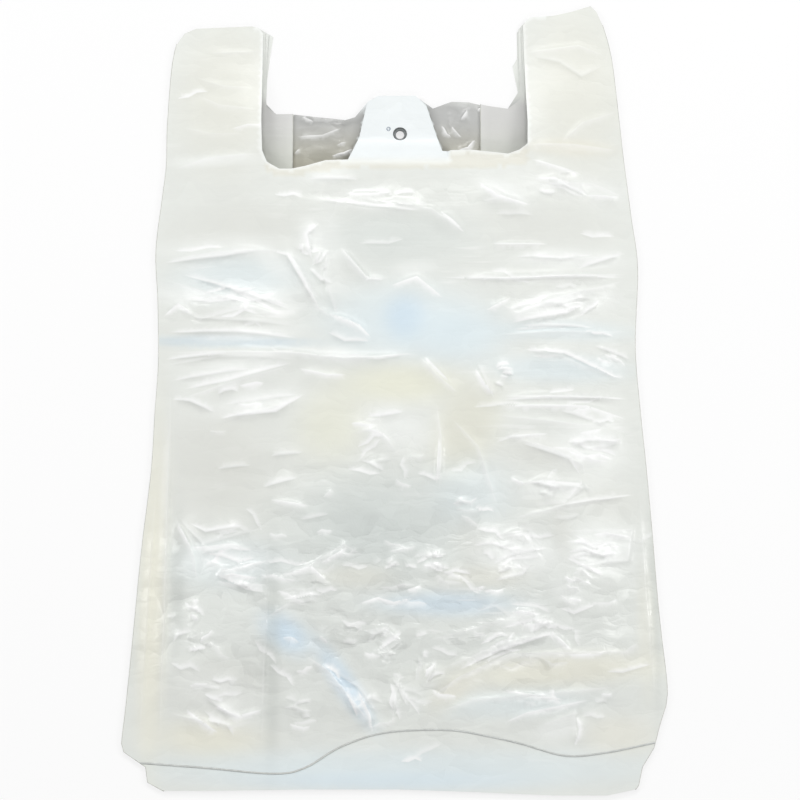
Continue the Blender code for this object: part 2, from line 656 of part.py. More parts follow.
def carrier_bag():
    """The bag as one solid, centred on its rest face."""
    film = bag_film()
    xs = [vert.co.x for vert in film.verts]
    ys = [vert.co.y for vert in film.verts]
    shift = Vector((-(min(xs) + max(xs)) / 2, -(min(ys) + max(ys)) / 2, 0.0))
    bag = add_object("carrier_bag", film, shift)
    bag.data.materials.append(film_material())
    walls = bag.modifiers.new("film thickness", "SOLIDIFY")
    walls.thickness = FILM
    walls.offset = 0.0
    cutter = add_object("welds", welds(), shift)
    cutter.hide_render = True
    cutter.display_type = "WIRE"
    join = bag.modifiers.new("welds", "BOOLEAN")
    join.operation = "UNION"
    join.solver = "EXACT"
    join.object = cutter
    return bag


def main():
    for thing in list(bpy.data.objects):
        bpy.data.objects.remove(thing)
    carrier_bag()


main()
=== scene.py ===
"""Dresses a thin plastic carrier bag that lies flat: its film panels, folds, welds and hanging hole.

Every size is in metres. X runs across the bag, Y runs up to the handles and Z is up.
"""

import math

import bpy
import numpy as np
from bpy.props import FloatProperty, FloatVectorProperty, IntProperty, PointerProperty
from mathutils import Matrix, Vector
from mathutils.bvhtree import BVHTree
from mathutils.geometry import delaunay_2d_cdt
from mathutils.kdtree import KDTree


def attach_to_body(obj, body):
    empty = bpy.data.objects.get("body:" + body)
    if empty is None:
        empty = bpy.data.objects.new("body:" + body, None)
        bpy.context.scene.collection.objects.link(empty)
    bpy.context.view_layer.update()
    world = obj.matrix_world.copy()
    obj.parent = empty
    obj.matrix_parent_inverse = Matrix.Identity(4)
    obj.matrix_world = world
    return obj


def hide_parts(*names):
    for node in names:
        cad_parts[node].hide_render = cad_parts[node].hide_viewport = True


bl_info = {
    "name": "Carrier bag",
    "version": (1, 0, 0),
    "blender": (4, 5, 0),
    "location": "3D View > Sidebar > Carrier bag",
    "description": "Models the film, folds and welds of a thin plastic carrier bag, and its stage",
    "category": "Object",
}

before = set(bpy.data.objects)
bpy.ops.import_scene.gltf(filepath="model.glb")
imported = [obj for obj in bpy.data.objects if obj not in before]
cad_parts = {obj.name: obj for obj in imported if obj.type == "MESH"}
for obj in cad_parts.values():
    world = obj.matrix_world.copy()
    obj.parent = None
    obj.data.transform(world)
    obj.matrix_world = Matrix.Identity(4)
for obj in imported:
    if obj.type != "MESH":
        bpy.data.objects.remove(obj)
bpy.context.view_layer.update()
NODE = "carrier_bag"
BODY = "root"

# Outlines. A height of 0 to 1 runs up the body, and 1 to 2 runs up the handles.
# Side folds: metres outside half the face width, height.
LEFT_FOOT = [(-0.0085, 0.007), (0.0012, 0.020), (0.0026, 0.043), (0.0160, 0.066)]
LEFT_SIDE = [
    (0.0160, 0.066), (0.0174, 0.078), (0.0152, 0.142), (0.0118, 0.259), (0.0085, 0.377),
    (0.0038, 0.504), (0.0024, 0.597), (0.0010, 0.683), (0.0024, 0.784), (0.0044, 0.864),
    (0.0011, 0.956), (-0.0009, 1.045), (-0.0009, 1.325), (-0.0030, 1.734), (-0.0057, 1.881),
]
RIGHT_FOOT = [(-0.0091, 0.009), (-0.0072, 0.015), (-0.0046, 0.043), (0.0026, 0.072)]
RIGHT_SIDE = [
    (0.0026, 0.072), (0.0069, 0.110), (0.0116, 0.155), (0.0089, 0.244), (0.0071, 0.303),
    (0.0048, 0.408), (0.0019, 0.520), (-0.0004, 0.595), (-0.0027, 0.705), (0.0000, 0.835),
    (-0.0033, 0.921), (-0.0072, 1.070), (-0.0092, 1.310), (-0.0134, 1.776), (-0.0187, 2.015),
]
# Sealed tops of the handles: share of the handle's width, height.
LEFT_TOP = [(0.170, 1.955), (0.293, 1.989), (0.495, 1.995), (0.879, 2.006), (0.962, 1.995)]
RIGHT_TOP = [(0.367, 2.109), (0.430, 2.149), (0.633, 2.109), (0.834, 2.080), (1.079, 2.071)]
# Inner edges of the handles: metres inside the handle width, height. The layers end in steps.
LEFT_INNER = {
    "front": [(0.0002, 1.955), (0.0005, 1.330), (0.0015, 1.110), (0.0045, 1.035)],
    "front_gusset": [(0.0014, 1.960), (0.0016, 1.600), (0.0019, 1.455)],
    "back_gusset": [(0.0036, 1.955), (0.0024, 1.650), (0.0030, 1.450)],
    "back": [(0.0068, 1.940), (0.0048, 1.790), (0.0031, 1.640), (0.0027, 1.470)],
}
RIGHT_INNER = {
    "front": [(0.0092, 2.015), (0.0084, 1.600), (0.0076, 1.320), (0.0080, 1.160)],
    "front_gusset": [(0.0103, 2.010), (0.0098, 1.650), (0.0100, 1.500)],
    "back_gusset": [(0.0122, 1.990), (0.0120, 1.720), (0.0115, 1.500)],
    "back": [(0.0131, 1.970), (0.0131, 1.787), (0.0162, 1.734), (0.0150, 1.665), (0.0129, 1.550)],
}
# Mouth edges between the handles: share of the way to a handle, metres above the mouth's height.
FRONT_MOUTH = [
    (-0.860, -0.0011), (-0.774, -0.0011), (-0.679, 0.0008), (-0.531, 0.0048), (-0.362, 0.0054),
    (0.345, 0.0116), (0.499, 0.0119), (0.772, 0.0090), (0.851, 0.0116),
]
BACK_MOUTH = [
    (-0.893, 0.0002), (-0.753, 0.0004), (-0.602, -0.0015), (-0.396, -0.0041), (-0.325, -0.0022),
    (0.238, 0.0036), (0.374, 0.0084), (0.502, 0.0085), (0.639, 0.0058), (0.777, 0.0039),
]
MOUTH_CREST = [
    (-0.944, -0.0031), (-0.871, -0.0071), (-0.779, -0.0071), (-0.351, -0.0005),
    (0.327, -0.0005), (0.565, -0.0011), (0.841, 0.0002), (0.924, 0.0042),
]
# The hanging tab's outline: side, share of the way from foot to top width, share of the height.
TAB_SHAPE = [
    (1, 0.000, 0.240), (1, 0.423, 0.580), (1, 0.769, 0.860), (1, 1.308, 1.000),
    (-1, 1.462, 1.000), (-1, 0.923, 0.916), (-1, 0.538, 0.450), (-1, 0.000, 0.110),
]
# The bottom weld and the cut edge under it: share of half the face width, height.
WELD_LINE = [
    (-1.000, 0.049), (-0.790, 0.042), (-0.505, 0.033), (-0.379, 0.042), (-0.240, 0.073),
    (-0.060, 0.095), (0.192, 0.099), (0.360, 0.089), (0.488, 0.078), (0.664, 0.060),
    (0.830, 0.065), (1.000, 0.080),
]
BOTTOM_EDGE = [
    (-0.730, 0.007), (-0.360, 0.009), (0.000, 0.009), (0.300, 0.005), (0.610, 0.000),
    (0.830, 0.000),
]

# Main folds of the front panel: height and half width in millimetres, then points as shares of half the
# face width and of the body's height. A half width below 0 leans the fold to its other side.
FRONT_CREASES = [
    # Handles.
    (0.5, 4.0, [(-0.82, 1.82), (-0.62, 1.83)]),
    (0.7, 5.0, [(-0.86, 1.51), (-0.77, 1.44), (-0.61, 1.40)]),
    (0.5, 5.0, [(-0.87, 1.64), (-0.76, 1.58), (-0.62, 1.56)]),
    (0.5, 6.0, [(-0.93, 1.30), (-0.80, 1.24), (-0.66, 1.23)]),
    (1.0, 5.0, [(-0.96, 1.01), (-0.83, 1.07), (-0.60, 1.09)]),
    (0.8, 5.0, [(0.54, 1.82), (0.77, 1.87), (0.88, 1.80)]),
    (0.8, -5.0, [(0.56, 1.80), (0.69, 1.75), (0.78, 1.65), (0.88, 1.74)]),
    (1.0, 5.0, [(0.68, 1.17), (0.78, 1.32), (0.93, 1.41)]),
    (1.4, 8.0, [(0.54, 1.15), (0.74, 1.16), (0.93, 1.14)]),
    # Below the mouth.
    (0.9, 4.0, [(-0.40, 0.95), (-0.15, 0.93), (0.08, 0.925)]),
    (1.3, 4.5, [(-0.09, 0.94), (0.13, 0.93), (0.27, 0.89)]),
    (1.1, 4.0, [(0.36, 0.97), (0.43, 0.95), (0.54, 0.93)]),
    (1.2, 5.0, [(0.60, 0.975), (0.82, 0.975), (0.95, 0.955)]),
    (1.0, 4.0, [(0.48, 0.845), (0.69, 0.845), (0.95, 0.855)]),
    (2.0, 7.0, [(0.26, 0.81), (0.61, 0.815), (0.96, 0.825)]),
    # Middle of the left side.
    (1.2, 7.0, [(-0.98, 0.85), (-0.61, 0.86), (-0.48, 0.86)]),
    (1.8, 6.0, [(-0.48, 0.86), (-0.42, 0.83), (-0.34, 0.765), (-0.27, 0.745)]),
    (1.2, -4.5, [(-0.30, 0.865), (-0.32, 0.815), (-0.26, 0.75)]),
    (1.3, 4.5, [(-0.26, 0.865), (-0.13, 0.81), (-0.04, 0.815)]),
    (1.3, 6.0, [(-0.98, 0.815), (-0.60, 0.765), (-0.45, 0.745)]),
    (1.3, -6.0, [(-0.97, 0.775), (-0.84, 0.75), (-0.42, 0.735)]),
    (1.2, 4.0, [(-0.30, 0.755), (-0.21, 0.745), (-0.12, 0.71)]),
    (2.0, 5.0, [(-0.98, 0.695), (-0.42, 0.69), (-0.22, 0.68), (0.08, 0.69)]),
    (1.0, -4.0, [(-0.98, 0.675), (-0.75, 0.685), (-0.42, 0.68)]),
    (1.2, 6.0, [(-0.90, 0.62), (-0.67, 0.645), (-0.45, 0.67)]),
    # Middle of the right side.
    (1.6, 6.0, [(0.08, 0.685), (0.15, 0.655), (0.24, 0.625)]),
    (1.2, -5.0, [(0.32, 0.675), (0.36, 0.64), (0.39, 0.615)]),
    (1.6, 6.0, [(0.40, 0.775), (0.49, 0.755), (0.61, 0.775), (0.95, 0.815)]),
    (1.1, 3.5, [(0.40, 0.72), (0.61, 0.725), (0.96, 0.73)]),
    (1.1, 4.5, [(0.50, 0.695), (0.67, 0.685), (0.76, 0.67), (0.95, 0.65)]),
    (1.6, 4.5, [(0.41, 0.62), (0.95, 0.62)]),
    (1.1, 5.0, [(0.39, 0.59), (0.75, 0.575), (0.95, 0.58)]),
    (1.4, 6.0, [(0.45, 0.555), (0.63, 0.535), (0.75, 0.51), (0.76, 0.49)]),
    (1.4, 6.0, [(0.42, 0.485), (0.75, 0.475), (0.67, 0.45), (0.52, 0.445)]),
    (1.4, 5.0, [(0.45, 0.425), (0.67, 0.445), (0.95, 0.465)]),
    (1.1, 5.0, [(0.66, 0.405), (0.95, 0.41), (0.93, 0.36), (0.67, 0.35)]),
    (1.1, 5.0, [(0.39, 0.40), (0.49, 0.405), (0.59, 0.355)]),
    # Lower middle.
    (1.1, 5.0, [(-0.19, 0.56), (-0.10, 0.57), (0.00, 0.525)]),
    (1.3, 5.0, [(0.15, 0.605), (0.17, 0.555), (0.16, 0.47)]),
    (1.1, 5.0, [(0.21, 0.585), (0.32, 0.54), (0.40, 0.44)]),
    (1.3, 6.0, [(-0.47, 0.34), (-0.35, 0.355), (-0.23, 0.385), (-0.14, 0.365)]),
    (1.2, 5.0, [(-0.54, 0.27), (-0.44, 0.295), (-0.29, 0.31)]),
    (2.0, 6.0, [(-0.39, 0.215), (-0.29, 0.19), (-0.14, 0.12), (-0.11, 0.105)]),
    (1.3, -4.0, [(-0.27, 0.19), (-0.17, 0.165), (-0.08, 0.12)]),
    (1.3, 4.0, [(-0.16, 0.25), (-0.06, 0.255), (0.00, 0.235), (-0.10, 0.205)]),
    (1.3, 4.5, [(0.00, 0.19), (-0.03, 0.115)]),
    # Lower left.
    (1.0, 5.0, [(-0.74, 0.585), (-0.60, 0.595), (-0.45, 0.61)]),
    (1.4, 5.0, [(-0.92, 0.43), (-0.84, 0.37), (-0.82, 0.325)]),
    (1.3, -5.0, [(-0.90, 0.425), (-0.80, 0.385), (-0.56, 0.41)]),
    (1.1, 5.0, [(-0.81, 0.365), (-0.69, 0.345), (-0.54, 0.35)]),
    (1.2, 5.0, [(-0.93, 0.125), (-0.68, 0.105), (-0.58, 0.115)]),
    # Lower right.
    (1.2, 5.0, [(0.11, 0.235), (0.39, 0.265), (0.53, 0.27)]),
    (1.3, 5.0, [(0.15, 0.19), (0.44, 0.235), (0.69, 0.25)]),
    (1.8, 7.0, [(0.09, 0.14), (0.24, 0.18), (0.44, 0.215), (0.96, 0.22)]),
    (1.4, 6.0, [(0.15, 0.125), (0.29, 0.145), (0.88, 0.165)]),
    (1.3, 5.0, [(0.56, 0.105), (0.70, 0.125), (0.71, 0.075)]),
]
# The glossiest folds, in the same form.
GLOSSY_FOLDS = [
    # Below the mouth.
    (1.4, -4.0, [(-0.34, 0.945), (-0.14, 0.935), (0.10, 0.925)]),
    (1.2, 4.0, [(-0.23, 0.955), (-0.05, 0.955)]),
    (1.0, -4.0, [(-0.39, 0.98), (-0.17, 0.98)]),
    (1.9, 5.0, [(0.33, 0.975), (0.41, 0.95), (0.55, 0.935)]),
    (1.7, 5.0, [(0.17, 0.925), (0.22, 0.91), (0.27, 0.89)]),
    (1.1, 2.5, [(0.38, 0.87), (0.62, 0.87)]),
    (1.4, -3.0, [(0.48, 0.85), (0.67, 0.845), (0.81, 0.855)]),
    (1.4, -5.0, [(0.74, 0.83), (0.81, 0.84), (0.95, 0.86)]),
    (1.6, -3.0, [(0.17, 0.815), (0.44, 0.81), (0.95, 0.82)]),
    (1.5, 4.0, [(0.56, 1.05), (0.63, 1.015), (0.77, 0.99)]),
    (1.3, 5.0, [(0.57, 0.98), (0.65, 0.98), (0.73, 0.97)]),
    (1.4, 3.0, [(0.78, 0.955), (0.94, 0.955)]),
    # Left, above the long level fold.
    (1.8, 5.0, [(-0.34, 0.905), (-0.39, 0.885), (-0.37, 0.845)]),
    (1.3, 4.0, [(-0.30, 0.86), (-0.33, 0.84), (-0.37, 0.835)]),
    (1.3, -4.0, [(-0.38, 0.83), (-0.33, 0.81), (-0.28, 0.805)]),
    (1.2, 3.0, [(-0.25, 0.865), (-0.14, 0.815), (-0.09, 0.81)]),
    (1.4, -4.0, [(-1.00, 0.845), (-0.73, 0.85), (-0.57, 0.86)]),
    (1.8, -5.0, [(-0.54, 0.86), (-0.47, 0.85), (-0.41, 0.81), (-0.34, 0.765)]),
    (1.3, -4.5, [(-0.92, 0.825), (-0.66, 0.79), (-0.44, 0.76)]),
    (1.5, 6.0, [(-0.99, 0.755), (-0.93, 0.775), (-0.86, 0.755)]),
    (1.5, -4.0, [(-0.98, 0.73), (-0.68, 0.725), (-0.42, 0.715)]),
    (1.7, 5.0, [(-0.30, 0.755), (-0.17, 0.735), (-0.12, 0.715)]),
    (1.3, -4.0, [(-0.30, 0.725), (-0.23, 0.71), (-0.12, 0.71)]),
    (1.6, 6.0, [(-0.04, 0.80), (0.07, 0.815), (0.18, 0.78)]),
    # Left, below it.
    (1.4, -3.5, [(-0.98, 0.685), (-0.70, 0.69)]),
    (1.2, -3.5, [(-0.95, 0.65), (-0.61, 0.665)]),
    (1.2, -3.0, [(-0.35, 0.685), (-0.09, 0.68), (0.06, 0.69)]),
    (1.4, 5.0, [(-0.42, 0.665), (-0.30, 0.655), (-0.22, 0.655)]),
    (1.4, -6.0, [(-0.90, 0.635), (-0.72, 0.645), (-0.44, 0.675)]),
    (1.4, -4.0, [(-0.95, 0.62), (-0.87, 0.615), (-0.76, 0.595)]),
    (1.8, -6.0, [(-0.75, 0.585), (-0.51, 0.595), (-0.39, 0.625)]),
    (1.0, -3.0, [(-0.53, 0.525), (-0.40, 0.53)]),
    (0.8, -2.5, [(-0.75, 0.505), (-0.61, 0.51)]),
    (1.2, -6.0, [(-0.56, 0.475), (-0.42, 0.49)]),
    (1.3, 5.0, [(-0.53, 0.455), (-0.37, 0.445)]),
    # Right.
    (1.4, 4.0, [(0.10, 0.685), (0.15, 0.665), (0.20, 0.645)]),
    (1.4, 4.0, [(0.36, 0.76), (0.46, 0.78)]),
    (1.8, -8.0, [(0.46, 0.74), (0.69, 0.755), (0.78, 0.775)]),
    (1.2, -2.5, [(0.50, 0.735), (0.81, 0.735)]),
    (1.9, -5.0, [(0.50, 0.695), (0.68, 0.69), (0.89, 0.655), (0.95, 0.655)]),
    (1.2, -3.0, [(0.81, 0.705), (0.96, 0.685)]),
    (1.5, 4.0, [(0.41, 0.665), (0.47, 0.665)]),
    (1.7, 6.0, [(0.31, 0.665), (0.34, 0.645), (0.39, 0.62)]),
    (1.6, -3.0, [(0.42, 0.615), (0.95, 0.62)]),
    (1.6, 4.0, [(0.40, 0.605), (0.77, 0.605), (0.95, 0.585)]),
    (1.4, 4.0, [(0.43, 0.555), (0.61, 0.56)]),
    (1.4, -4.0, [(0.50, 0.545), (0.69, 0.52), (0.74, 0.495)]),
    (1.5, -6.0, [(0.69, 0.54), (0.77, 0.55), (0.92, 0.55)]),
    (1.5, 4.0, [(0.45, 0.49), (0.51, 0.48)]),
    (1.4, 5.0, [(0.55, 0.485), (0.74, 0.48), (0.68, 0.455)]),
    (1.2, -3.0, [(0.60, 0.44), (0.72, 0.45), (0.97, 0.465)]),
    (1.3, -4.0, [(0.16, 0.555), (0.15, 0.48)]),
    # Lower part.
    (1.4, 3.5, [(-0.91, 0.42), (-0.85, 0.38)]),
    (1.5, -5.0, [(-0.86, 0.42), (-0.79, 0.405), (-0.63, 0.415)]),
    (1.3, 3.0, [(-0.75, 0.34), (-0.53, 0.36)]),
    (1.6, -6.0, [(-0.75, 0.34), (-0.62, 0.315), (-0.54, 0.31)]),
    (1.6, 6.0, [(-0.49, 0.335), (-0.36, 0.35), (-0.29, 0.325)]),
    (1.5, 5.0, [(-0.32, 0.355), (-0.21, 0.38)]),
    (1.7, -5.0, [(-0.22, 0.16), (-0.17, 0.12)]),
    (1.7, 4.0, [(-0.17, 0.16), (-0.12, 0.12), (-0.11, 0.095)]),
    (1.7, 6.0, [(-0.75, 0.14), (-0.65, 0.12), (-0.55, 0.13)]),
    (1.7, 5.0, [(-0.86, 0.13), (-0.73, 0.095)]),
    (1.8, -5.0, [(0.23, 0.19), (0.40, 0.22), (0.60, 0.245), (0.63, 0.23)]),
    (1.6, 4.5, [(0.61, 0.25), (0.69, 0.22)]),
    (1.5, 4.0, [(0.41, 0.16), (0.66, 0.145)]),
    (1.5, 4.0, [(0.42, 0.11), (0.51, 0.125), (0.76, 0.145)]),
    (1.7, -4.0, [(0.71, 0.12), (0.72, 0.10), (0.70, 0.075)]),
]
# Bundles of short folds that lie side by side: how many, middle as shares, half the bundle's depth
# and a fold's length in millimetres, turn and fan in degrees, height and half width in millimetres.
BUNDLES = [
    # Below the mouth.
    (5, 0.68, 0.970, 7, 26, -10, 8, 1.2, 3.5),
    (4, 0.00, 0.945, 4, 34, -6, 5, 1.1, 3.0),
    # Middle of the left side.
    (4, -0.35, 0.855, 10, 12, 65, 20, 1.3, 4.0),
    (5, -0.68, 0.775, 8, 44, -6, 5, 0.8, 3.5),
    (4, -0.62, 0.625, 7, 40, 10, 4, 1.2, 4.5),
    # Middle of the right side.
    (5, 0.62, 0.765, 9, 34, 14, 8, 1.4, 4.0),
    (4, 0.87, 0.690, 6, 16, -22, 6, 1.1, 2.5),
    (5, 0.45, 0.655, 8, 12, -8, 10, 1.2, 3.0),
    (9, 0.80, 0.550, 14, 34, -6, 16, 1.4, 4.0),
    (5, 0.62, 0.475, 5, 22, 6, 8, 1.3, 3.5),
    # Lower right.
    (10, 0.82, 0.375, 12, 34, -8, 16, 1.4, 3.5),
    (10, 0.47, 0.370, 12, 30, 10, -16, 1.4, 3.5),
    (5, 0.30, 0.440, 8, 20, -14, 24, 1.1, 3.5),
    (6, 0.70, 0.320, 12, 14, -25, 10, 1.3, 3.0),
    (5, 0.52, 0.270, 7, 24, 4, 8, 1.4, 4.0),
    (6, 0.40, 0.225, 6, 24, 18, 8, 1.2, 3.0),
    # Lower middle.
    (4, -0.10, 0.575, 8, 26, -4, 16, 1.0, 4.0),
    (5, -0.10, 0.515, 10, 18, 10, 40, 0.8, 3.5),
    (5, 0.12, 0.360, 6, 18, 0, 10, 1.1, 3.0),
    (4, -0.05, 0.355, 4, 14, 12, 6, 1.2, 3.0),
    (5, 0.12, 0.200, 10, 16, 60, 20, 1.2, 3.5),
    (6, -0.04, 0.235, 10, 15, 20, 40, 1.4, 4.0),
    (4, 0.00, 0.150, 8, 20, -70, 30, 1.1, 3.5),
    # Lower left.
    (6, -0.68, 0.385, 10, 30, 6, 10, 1.3, 3.5),
    (5, -0.66, 0.335, 7, 30, 2, 10, 1.2, 3.5),
    (4, -0.83, 0.285, 8, 11, -25, 10, 1.4, 4.0),
    (4, -0.79, 0.235, 6, 11, 25, 12, 1.3, 3.5),
    (8, -0.72, 0.140, 14, 22, -18, 24, 1.3, 4.0),
    (5, -0.40, 0.120, 9, 16, 10, 14, 1.2, 3.5),
    (5, -0.35, 0.310, 6, 26, 6, 8, 1.1, 3.0),
]
# Long pleats beside the side folds, which hardly shine, in the form of the main folds.
PLEATS = [
    (1.5, 2.6, [(-0.955, 0.64), (-0.95, 0.52), (-0.955, 0.24), (-0.965, 0.075)]),
    (1.0, 2.2, [(-1.005, 0.48), (-1.02, 0.33), (-1.045, 0.09)]),
    (0.9, 2.4, [(-0.54, 0.40), (-0.535, 0.31), (-0.555, 0.07)]),
    (1.0, 2.4, [(0.985, 0.47), (1.00, 0.33), (1.03, 0.14)]),
]
# Folds of the back panel, in the same form. Most of them show in the mouth.
BACK_CREASES = [
    (1.0, 8.0, [(-0.38, 0.76), (-0.10, 0.735), (0.22, 0.75)]),
    (1.2, 8.0, [(-0.40, 0.56), (-0.15, 0.58), (0.10, 0.64)]),
    (1.0, 8.0, [(-0.35, 0.30), (-0.05, 0.27), (0.24, 0.30)]),
    (1.2, 8.0, [(0.05, 0.23), (0.18, 0.18), (0.22, 0.13)]),
    (0.9, 2.5, [(-0.44, 1.24), (-0.33, 1.245), (-0.25, 1.29)]),
    (1.8, 3.0, [(-0.29, 1.10), (-0.24, 1.12), (-0.20, 1.15)]),
    (1.0, 2.0, [(-0.27, 1.17), (-0.23, 1.20)]),
    (1.2, 2.0, [(-0.45, 1.12), (-0.43, 1.16)]),
    (1.3, 2.0, [(-0.42, 1.38), (-0.37, 1.34)]),
    (1.6, 2.5, [(0.26, 1.35), (0.29, 1.42)]),
    (1.6, 2.0, [(0.18, 1.31), (0.20, 1.25), (0.22, 1.23)]),
    (1.3, 2.0, [(0.22, 1.30), (0.26, 1.23)]),
    (1.9, 3.0, [(0.25, 1.14), (0.29, 1.16), (0.32, 1.22)]),
    (1.6, 2.5, [(0.33, 1.42), (0.36, 1.46)]),
]

# Finishes in linear colour. The glint is a painted highlight, the shade a painted shadow, and white also
# serves for painted highlights.
PALETTE = {
    "white": (0.92, 0.94, 0.92),
    "glint": (0.98, 0.98, 0.98),
    "cool white": (0.83, 0.87, 0.875),
    "pale blue": (0.73, 0.84, 0.89),
    "deep blue": (0.63, 0.75, 0.84),
    "cream": (0.83, 0.82, 0.71),
    "olive": (0.83, 0.83, 0.68),
    "tan": (0.79, 0.765, 0.655),
    "lip": (0.72, 0.70, 0.60),
    "taupe": (0.66, 0.66, 0.61),
    "slate": (0.55, 0.61, 0.60),
    "shade": (0.45, 0.48, 0.45),
}
# Soft fields of colour on the front panel, where other layers show through; the shade fields are painted
# shadow and the white ones painted highlights. Each: finish, strength, middle as shares of half the face
# width and of the body's height, half lengths in millimetres, turn in degrees. Each is mixed over those
# before it.
FRONT_FIELDS = [
    ("slate", 0.20, 0.00, 0.270, 158, 66, 0),
    ("cream", 0.45, -0.74, 1.500, 32, 50, 0),
    ("cream", 0.45, 0.75, 1.550, 32, 58, 0),
    ("taupe", 0.20, -0.74, 1.500, 34, 56, 0),
    ("taupe", 0.20, 0.75, 1.550, 34, 60, 0),
    ("tan", 0.60, 0.72, 1.140, 28, 6, 0),
    ("white", 0.55, -0.78, 1.055, 30, 4, 0),
    ("slate", 0.30, -0.02, 0.880, 56, 20, 0),
    ("taupe", 0.30, -0.66, 0.900, 46, 17, 0),
    ("taupe", 0.25, 0.62, 0.900, 44, 14, 0),
    ("white", 0.45, 0.72, 0.970, 38, 9, -4),
    ("white", 0.40, 0.70, 0.845, 36, 7, 0),
    ("pale blue", 0.60, 0.00, 0.742, 50, 24, 0),
    ("deep blue", 0.85, 0.02, 0.748, 13, 14, 0),
    ("pale blue", 0.60, 0.25, 0.720, 30, 18, 0),
    ("pale blue", 0.45, -0.68, 0.815, 42, 15, 0),
    ("deep blue", 0.80, -0.72, 0.711, 50, 3.6, -2),
    ("pale blue", 0.45, 0.68, 0.728, 44, 7, 0),
    ("pale blue", 0.50, 0.66, 0.665, 44, 9, 0),
    ("white", 0.40, 0.72, 0.770, 36, 8, 10),
    ("olive", 0.75, 0.00, 0.640, 38, 13, 0),
    ("olive", 0.55, -0.28, 0.575, 24, 22, 50),
    ("olive", 0.75, 0.27, 0.570, 18, 27, -25),
    ("taupe", 0.50, 0.27, 0.570, 18, 27, -25),
    ("slate", 0.45, -0.08, 0.420, 54, 32, 0),
    ("taupe", 0.45, -0.75, 0.510, 38, 40, 0),
    ("pale blue", 0.35, 0.30, 0.465, 26, 20, 0),
    ("white", 0.45, 0.48, 0.372, 24, 14, 0),
    ("white", 0.40, 0.82, 0.372, 22, 15, 0),
    ("tan", 0.35, -0.18, 0.335, 22, 7, 0),
    ("tan", 0.35, 0.34, 0.335, 25, 7, 0),
    ("deep blue", 0.70, 0.19, 0.292, 40, 7.5, 0),
    ("deep blue", 0.95, -0.46, 0.246, 17, 10, -35),
    ("deep blue", 0.90, -0.22, 0.168, 29, 7, -56),
    ("pale blue", 0.35, -0.70, 0.355, 38, 15, 0),
    ("cream", 0.85, 0.62, 0.190, 66, 10, 3),
    ("tan", 0.55, 0.20, 0.152, 17, 8, 38),
    ("pale blue", 0.35, 0.46, 0.138, 44, 8, 4),
    ("cream", 0.90, -0.76, 0.085, 32, 12, -3),
    ("tan", 0.45, 0.88, 0.090, 22, 12, 0),
    ("taupe", 0.40, -0.74, 0.168, 34, 18, 0),
    ("shade", 0.35, -0.905, 0.320, 5, 42, 0),
    ("shade", 0.32, -0.515, 0.220, 5, 68, 0),
    ("cream", 0.90, -1.010, 0.300, 9, 110, 0),
    ("shade", 0.30, 1.040, 0.350, 3, 80, 0),
    ("taupe", 0.35, 0.57, 0.53, 26, 9, -6),
    ("taupe", 0.30, 0.87, 0.45, 20, 12, 0),
    ("taupe", 0.35, 0.66, 0.40, 7, 16, 10),
    ("taupe", 0.30, 0.29, 0.39, 12, 18, 0),
    ("slate", 0.35, -0.74, 0.71, 46, 3.6, -2),
    ("white", 0.40, -0.48, 0.77, 12, 10, 0),
    ("white", 0.45, -0.66, 0.67, 32, 8, 14),
    ("white", 0.45, -0.28, 0.69, 17, 5, -10),
    ("white", 0.40, -0.92, 0.79, 16, 7, -8),
    ("white", 0.30, -0.76, 0.87, 44, 6, 3),
    ("white", 0.30, -0.29, 0.86, 9, 30, 8),
    ("white", 0.40, 0.06, 0.83, 14, 5, 6),
    ("cream", 0.40, 1.000, 0.250, 6, 40, 0),
    ("deep blue", 0.55, -0.05, 0.022, 84, 6, 0),
    ("pale blue", 0.55, 0.00, 0.040, 150, 12, 0),
    ("white", 0.55, 0.77, 0.54, 24, 15, -12),
    ("white", 0.55, 0.62, 0.47, 20, 5, 4),
    ("white", 0.50, 0.47, 0.37, 22, 12, -8),
    ("white", 0.50, 0.81, 0.38, 22, 12, 4),
    ("white", 0.45, 0.50, 0.27, 16, 7, 12),
    ("white", 0.45, 0.68, 0.31, 12, 8, -30),
    ("white", 0.45, -0.03, 0.57, 24, 14, -10),
    ("white", 0.60, 0.43, 0.96, 17, 6, -24),
    ("white", 0.45, -0.14, 0.96, 14, 4, 0),
    ("white", 0.45, -0.33, 0.98, 13, 3, 0),
    ("white", 0.60, -0.37, 0.88, 7, 10, 20),
    ("white", 0.45, -0.53, 0.84, 15, 7, -35),
    ("white", 0.40, -0.75, 0.78, 36, 5, -6),
    ("white", 0.40, -0.74, 0.16, 26, 12, -14),
    ("white", 0.35, -0.71, 0.36, 24, 8, 6),
    ("white", 0.60, 0.63, 0.10, 13, 6, 10),
    ("white", 0.60, 0.61, 0.77, 24, 7, 16),
    ("white", 0.55, -0.64, 0.72, 34, 5, 4),
    ("white", 0.50, -0.62, 0.61, 30, 8, 12),
]
# Where the film is crumpled: strength, middle, half lengths in millimetres, turn in degrees.
CRUMPLED = [
    (1.00, 0.00, 0.280, 175, 75, 0),
    (0.55, 0.00, 0.480, 120, 34, 0),
    (0.50, -0.34, 0.790, 24, 30, 0),
    (0.55, 0.00, 0.950, 70, 8, 0),
    (0.55, 0.72, 0.965, 38, 12, 0),
    (0.45, 0.70, 0.780, 46, 18, 0),
    (0.45, -0.70, 0.760, 46, 26, 0),
    (0.35, 0.70, 0.660, 44, 24, 0),
]
LEAST_CRUMPLE = 0.10
# Where it lies smooth, in the same form.
SMOOTH = [
    (0.85, -0.06, 0.860, 70, 16, 0),
    (0.70, -0.70, 0.905, 40, 16, 0),
    (0.60, 0.62, 0.900, 40, 10, 0),
    (0.70, -0.74, 0.500, 34, 34, 0),
    (0.45, -0.02, 0.742, 40, 20, 0),
]
